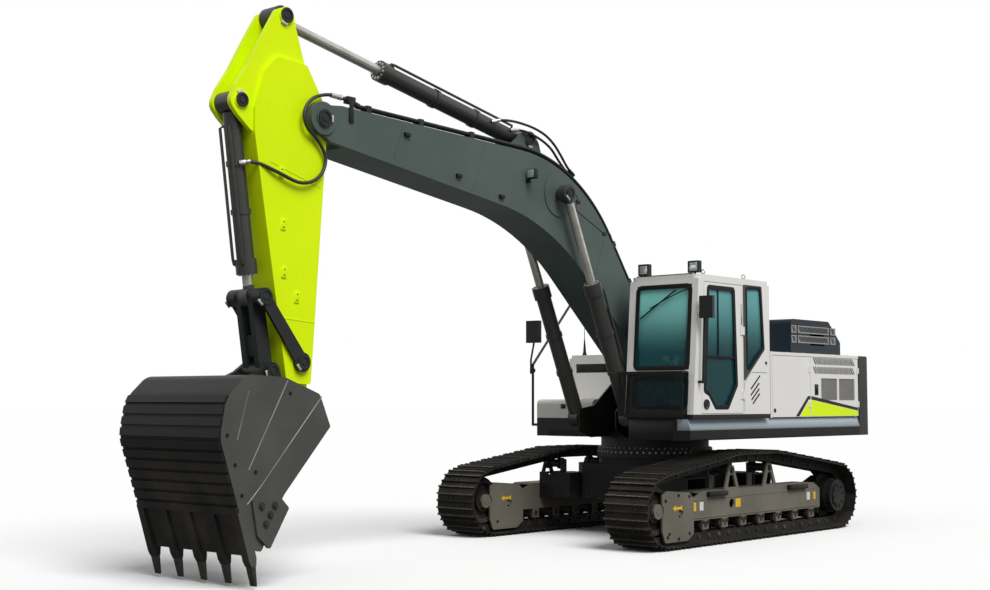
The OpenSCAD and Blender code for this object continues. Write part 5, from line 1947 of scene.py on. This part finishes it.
HOSES = (
    Hose("arm_hose", (
        (5.527, 0.246, 4.66), (5.65, 0.248, 4.69), (5.78, 0.25, 4.71), (5.92, 0.25, 4.715),
        (6.04, 0.25, 4.69), (6.15, 0.255, 4.64), (6.24, 0.265, 4.55), (6.27, 0.27, 4.44),
        (6.22, 0.265, 4.34), (6.10, 0.25, 4.26), (6.00, 0.24, 4.16), (5.96, 0.24, 4.05),
        (6.01, 0.245, 3.92), (6.14, 0.25, 3.82), (6.32, 0.25, 3.79), (6.57, 0.24, 3.86),
        (6.74, 0.20, 3.92), (6.84, 0.155, 3.935), (6.92, 0.095, 3.92)),
        ("boom", "arm"), ("boom", "bucket_barrel"), (5.96, 0.25, 4.72), (6.22, 0.25, 4.34)),
    Hose("elbow_hose_outer", (
        (2.00, 0.246, 4.37), (2.13, 0.250, 4.46), (2.25, 0.252, 4.58), (2.37, 0.252, 4.69),
        (2.52, 0.248, 4.78), (2.70, 0.242, 4.835), (2.90, 0.230, 4.865), (3.08, 0.200, 4.88),
        (3.22, 0.155, 4.875), (3.32, 0.10, 4.85)),
        ("boom", "arm_barrel"), ("boom", "arm_barrel"),
        (2.2, 0.25, 4.60), (3.0, 0.20, 4.86), 0.015),
    Hose("elbow_hose_inner", (
        (2.00, 0.200, 4.37), (2.14, 0.205, 4.45), (2.26, 0.210, 4.54), (2.38, 0.215, 4.64),
        (2.52, 0.216, 4.71), (2.68, 0.212, 4.76), (2.80, 0.195, 4.79), (2.90, 0.155, 4.805),
        (2.99, 0.10, 4.80)),
        ("boom", "arm_barrel"), ("boom", "arm_barrel"),
        (2.2, 0.21, 4.52), (2.8, 0.20, 4.80), 0.015),
)


@dataclass
class Front:
    """Fittings of boom, arm, linkage and cylinders."""

    boom_half: float = 0.27
    arm_half: float = 0.20
    bucket_half: float = 0.7555
    cutter_half: float = 0.785
    seam_steps: int = 14
    gland_bolts: int = 12

    def pins(self) -> None:
        """Pin caps with silver lock bars."""
        spots = (PinCap(vec(6.0303, 0.304, 4.4598), "boom", 0.085, 3.1),
                 PinCap(BOOM.at(3.42, 1.513, 0.172), "boom", 0.07, -1.6),
                 PinCap(ARM.at(-0.938, 0.470, 0.182), "arm", 0.075, -1.2),
                 PinCap(ARM.at(0.02, 0.936, 0.180), "arm", 0.07, 1.3),
                 PinCap(ARM.at(2.422, 0.018, 0.252), "arm", 0.066, -0.7),
                 PinCap(vec(6.7013, 0.246, 2.6574), "rockers", 0.075, -0.75),
                 PinCap(vec(6.2388, 0.219, 1.6194), "bucket", 0.07, 0.4),
                 PinCap(vec(6.5792, 0.219, 1.9499), "bucket", 0.07, -0.3),
                 PinCap(vec(2.324, 0.457, 4.106), "boom_rods", 0.066, -0.9))
        caps = {s.body: Solid() for s in spots}
        locks = {s.body: Solid() for s in spots}
        for spot in spots:
            spot.build(caps, locks)
        for body in caps:
            caps[body].finish(f"{body}_pin_caps", body, "charcoal", Slot.CHARCOAL)
            locks[body].finish(f"{body}_lock_bars", body, "zinc", Slot.BRIGHT, 0.002)

    def boom_plates(self) -> None:
        """Weld lines, clips and the work lamp on the boom's sides."""
        weld, clips, lamp, lens = Solid(), Solid(), Solid(), Solid()
        for side in SIDES:
            y = side * (self.boom_half + 0.001)
            for u, low, high in ((5.35, 0.13, 0.50), (4.15, 0.43, 1.0), (1.80, 0.47, 1.02)):
                weld.tube([BOOM.at(u, low, y), BOOM.at(u + 0.02, high, y)], 0.006, 6)
            line = [(2.06, 4.17), (1.96, 4.12), (1.95, 4.06), (2.00, 3.97), (1.91, 3.92),
                    (1.43, 3.72)]
            clips.tube(on_side(line, y), 0.005, 8)
            for x, z, out in ((4.86, 4.46, 0.03), (4.06, 4.12, 0.03), (3.35, 3.97, 0.03),
                              (1.95, 4.06, 0.008), (1.43, 3.72, 0.008)):
                clips.box((x - 0.04, y, z - 0.02), (x + 0.04, y + side * out, z + 0.02))
        at = BOOM.at(3.38, 0.97, self.boom_half)
        for form, low, high in ((lamp, (-0.02, 0, -0.02), (0.02, 0.05, 0.02)),
                                (lamp, (-0.03, 0.03, 0.02), (0.04, 0.14, 0.13)),
                                (lens, (0.04, 0.04, 0.03), (0.046, 0.13, 0.12))):
            form.box(at + Vector(low), at + Vector(high))
        weld.finish("boom_weld_lines", "boom", "boom", Slot.GREY)
        clips.finish("boom_clips", "boom", "black", Slot.BLACK, 0.004)
        lamp.finish("boom_lamp", "boom", "black", Slot.BLACK, 0.004)
        lens.finish("boom_lamp_lens", "boom", "lens", Slot.GLASS, 0.002)

    def arm_brackets(self) -> None:
        """Welded brackets with two black discs each as painted shade of holes, weld line across and
        edge beads of the arm.
        """
        lugs, hole_shade_spots, bead = Solid(), [], Solid()
        for side in SIDES:
            y = side * self.arm_half
            for u, v in ((0.62, 0.42), (1.12, 0.35), (1.58, 0.30), (1.80, 0.12)):
                a = ARM.at(u, v, y)
                run = ARM.at(u + 1, v, y) - a
                lugs.beam(a - run * 0.055, a + run * 0.055, 0.06, 0.024, Y)
                hole_shade_spots += [(a + run * s * 0.028 + Y * side * 0.012, Y * side) for s in SIDES]
            for u, tilt, low, high in ((0.68, -0.14, -0.10, 0.56), (2.02, 0.0, -0.13, 0.32)):
                bead.tube([ARM.at(u, low, y), ARM.at(u + tilt, high, y)], 0.005, 6)
        lugs.finish("arm_brackets", "arm", "lime", Slot.LIME, 0.004)
        bead.finish("arm_weld_lines", "arm", "lime", Slot.LIME)
        # painted shade: thin black discs stand for the shade in the holes
        Repeat.place("arm_bracket_hole_painted_shade", "arm", hole_shade_spots, Head.ROUND, 0.008, 0.0012, "black",
                     Slot.BLACK, 1.0)

    def hose_clamp(self) -> None:
        """Clamp and bright ferrule of the hose at the boom's tip."""
        clamp, ferrule = Solid(), Solid()
        clamp.box((5.60, 0.214, 4.665), (5.71, 0.285, 4.735))
        clamp.box((5.625, 0.275, 4.47), (5.685, 0.287, 4.70))
        clamp.finish("hose_clamp", "boom", "black", Slot.BLACK, 0.004)
        ferrule.disc(vec(5.79, 0.25, 4.711), vec(5.91, 0.25, 4.715), 0.025, 20)
        ferrule.disc(vec(5.77, 0.25, 4.710), vec(5.80, 0.25, 4.711), 0.032, 6)
        ferrule.finish("hose_ferrule", "boom", "zinc", Slot.BRIGHT, 0.001)

    def glands(self) -> None:
        """Gland bolts, bands and feed pipes of the cylinders."""
        sets = (("boom_barrels", (1.12, 1.47), (2.324, 4.106), (0.395, -0.395), 1.767, 0.100),
                ("arm_barrel", (2.722, 4.716), (6.430, 5.430), (0.0,), 2.342, 0.103),
                ("bucket_barrel", (6.965, 4.508), (6.701, 2.657), (0.0,), 1.648, 0.093))
        for body, foot, eye, rows, length, radius in sets:
            run = vec(eye[0] - foot[0], 0, eye[1] - foot[1]).normalized()
            lift = vec(-run.z, 0, run.x)
            spots, extra = [], Solid()
            for y in rows:
                start = vec(foot[0], y, foot[1])
                rim = circle(start + run * length, run, radius - 0.018, self.gland_bolts)
                spots += [(p, run) for p in rim]
                for d, out, wide in ((length - 0.15, 0.010, 0.148), (length * 0.34, 0.004, 0.05),
                                     (length * 0.62, 0.004, 0.05)):
                    at = start + run * d
                    extra.ring(*(circle(at, run, radius + by, 32) for by in (out, -0.02)),
                               run * wide)
                for s in SIDES if len(rows) == 1 else (math.copysign(1, y),):
                    aside = (lift * 0.8 + Y * s * 0.6).normalized()
                    stops = ((0.22, -0.02), (0.24, 0.026), (length - 0.16, 0.026),
                             (length - 0.11, 0.02), (length - 0.08, -0.02))
                    extra.tube([start + run * d + aside * (radius + out) for d, out in stops],
                               0.015, 10)
            Repeat.place(f"{body}_gland_bolts", body, spots, Head.HEX, 0.010, 0.010, "zinc",
                         Slot.BRIGHT)
            extra.finish(f"{body}_pipes", body, "barrel", Slot.CHARCOAL)

    def bucket(self) -> None:
        """Weld seams, black discs as painted shade in the plug holes, and cutter bolts on the
        bucket's sides.
        """
        weld, holes, bolts = Solid(), [], []
        seams = (((6.85, 1.86), (7.29, 1.06)), ((6.44, 1.71), (7.16, 0.90)),
                 ((7.30, 1.76), (7.42, 1.33)), ((7.16, 0.90), (7.30, 0.76)))
        plugs = ((6.82, 1.74), (7.53, 1.37), (7.44, 1.11), (7.21, 1.04), (7.36, 0.84))
        cutters = ((7.16, 0.74), (7.01, 0.74), (7.06, 0.66), (7.11, 0.58))
        for side in SIDES:
            for seam in seams:
                a, b = on_side(seam, side * self.bucket_half)
                weld.tube([a.lerp(b, k / self.seam_steps) for k in range(self.seam_steps + 1)],
                          0.006, 6)
            holes += [(p, Y * side) for p in on_side(plugs, side * self.bucket_half)]
            bolts += [(p, Y * side) for p in on_side(cutters, side * self.cutter_half)]
        weld.finish("bucket_weld_seams", "bucket", "weld", Slot.GREY)
        # painted shade: thin black discs stand for the shade in the plug holes
        Repeat.place("bucket_hole_painted_shade", "bucket", holes, Head.ROUND, 0.019, 0.002, "rubber",
                     Slot.BLACK, 1.0)
        Repeat.place("cutter_bolts", "bucket", bolts, Head.HEX, 0.024, 0.022, "tooth", Slot.TRACK)

    def dress(self) -> None:
        """Builds everything on the front."""
        self.pins()
        self.boom_plates()
        self.arm_brackets()
        self.hose_clamp()
        self.glands()
        self.bucket()


@dataclass
class Studio:
    """Camera at the photograph's angle, pale floor and soft light."""

    camera_at: Point = (15.392, 10.795, 1.675)
    yaw: float = 221.393
    pitch: float = 4.233
    roll: float = 0.087
    focal_px: float = 1430.93
    image_width: float = 990.0
    sensor: float = 36.0
    reach: float = 1000.0
    floor: float = 400.0
    pale: RGB = (0.97, 0.97, 0.97)
    palest: RGB = (0.985, 0.985, 0.985)
    sky: float = 0.34
    sun: float = 2.8
    sun_angle: float = 36.0
    sun_way: Point = (-0.20, -0.62, -0.76)
    bounce: float = 0.24

    def camera(self) -> None:
        """Sets the camera."""
        data = bpy.data.cameras.new("camera")
        data.sensor_width = self.sensor
        data.lens = self.focal_px / self.image_width * self.sensor
        data.clip_end = self.reach
        eye = bpy.data.objects.new("camera", data)
        yaw, pitch = math.radians(self.yaw), math.radians(self.pitch)
        flat = math.cos(pitch)
        look = vec(flat * math.cos(yaw), flat * math.sin(yaw), math.sin(pitch))
        turn = look.to_track_quat("-Z", "Y").to_matrix()
        turn = turn @ Matrix.Rotation(math.radians(self.roll), 3, "Z")
        eye.matrix_world = Matrix.Translation(self.camera_at) @ turn.to_4x4()
        bpy.context.scene.collection.objects.link(eye)
        bpy.context.scene.camera = eye

    def ground(self) -> None:
        """Pale floor that keeps the shadow and turns white far away."""
        bench = Bench("pale_floor")
        grain = bench.noise(3.0, 3.0)
        colour = bench.mix(self.pale, self.palest, grain)
        seen = bench.node("ShaderNodeLightPath", {}, {}, "Is Camera Ray")
        seen = seen.larger(bench.node("ShaderNodeLightPath", {}, {}, "Is Transmission Ray"))
        pale = bench.node("ShaderNodeBsdfDiffuse", {}, {"Color": colour})
        dull = bench.node("ShaderNodeBsdfDiffuse", {}, {"Color": (*[self.bounce] * 3, 1.0)})
        bench.node_out(bench.node("ShaderNodeMixShader", {}, {0: seen, 1: dull, 2: pale}))
        mesh = bpy.data.meshes.new("floor")
        r = self.floor / 2
        mesh.from_pydata([(-r, -r, 0), (r, -r, 0), (r, r, 0), (-r, r, 0)], [], [(0, 1, 2, 3)])
        mesh.materials.append(bench.material)
        floor = bpy.data.objects.new("floor", mesh)
        bpy.context.scene.collection.objects.link(floor)

    def light(self) -> None:
        """Even sky with a white backdrop, and one soft sun from the cab side."""
        world = bpy.data.worlds.new("sky")
        world.use_nodes = True
        bpy.context.scene.world = world
        tree = world.node_tree
        tree.nodes.clear()
        add, link = tree.nodes.new, tree.links.new
        path, out = add("ShaderNodeLightPath"), add("ShaderNodeOutputWorld")
        seen, blend = add("ShaderNodeMath"), add("ShaderNodeMixShader")
        seen.operation = "MAXIMUM"
        also = add("ShaderNodeMath")
        also.operation = "MAXIMUM"
        link(path.outputs["Is Camera Ray"], seen.inputs[0])
        link(path.outputs["Is Transmission Ray"], seen.inputs[1])
        link(seen.outputs[0], also.inputs[0])
        link(path.outputs["Is Glossy Ray"], also.inputs[1])
        link(also.outputs[0], blend.inputs[0])
        for k, strength in ((1, self.sky), (2, 1.0)):
            back = add("ShaderNodeBackground")
            back.inputs["Color"].default_value = (1.0, 1.0, 1.0, 1.0)
            back.inputs["Strength"].default_value = strength
            link(back.outputs[0], blend.inputs[k])
        link(blend.outputs[0], out.inputs[0])
        lamp = bpy.data.lights.new("sun", "SUN")
        lamp.energy = self.sun
        lamp.angle = math.radians(self.sun_angle)
        sun = bpy.data.objects.new("sun", lamp)
        sun.rotation_euler = Vector(self.sun_way).to_track_quat("-Z", "Y").to_euler()
        bpy.context.scene.collection.objects.link(sun)
        bpy.context.scene.view_settings.view_transform = "Standard"

    def build(self) -> None:
        """Sets camera, floor and light."""
        self.camera()
        self.ground()
        self.light()


def main() -> None:
    """Builds the studio, the finishes and the fittings in order."""
    logging.basicConfig(level=logging.INFO, format="%(name)s: %(message)s")
    Studio().build()
    for hose in HOSES:
        hose.build()
    paint_frame()
    for part in (Undercarriage(), Upper(), Cab(), Front()):
        part.dress()
        log.info("%s dressed", type(part).__name__)


if __name__ == "__main__":
    main()
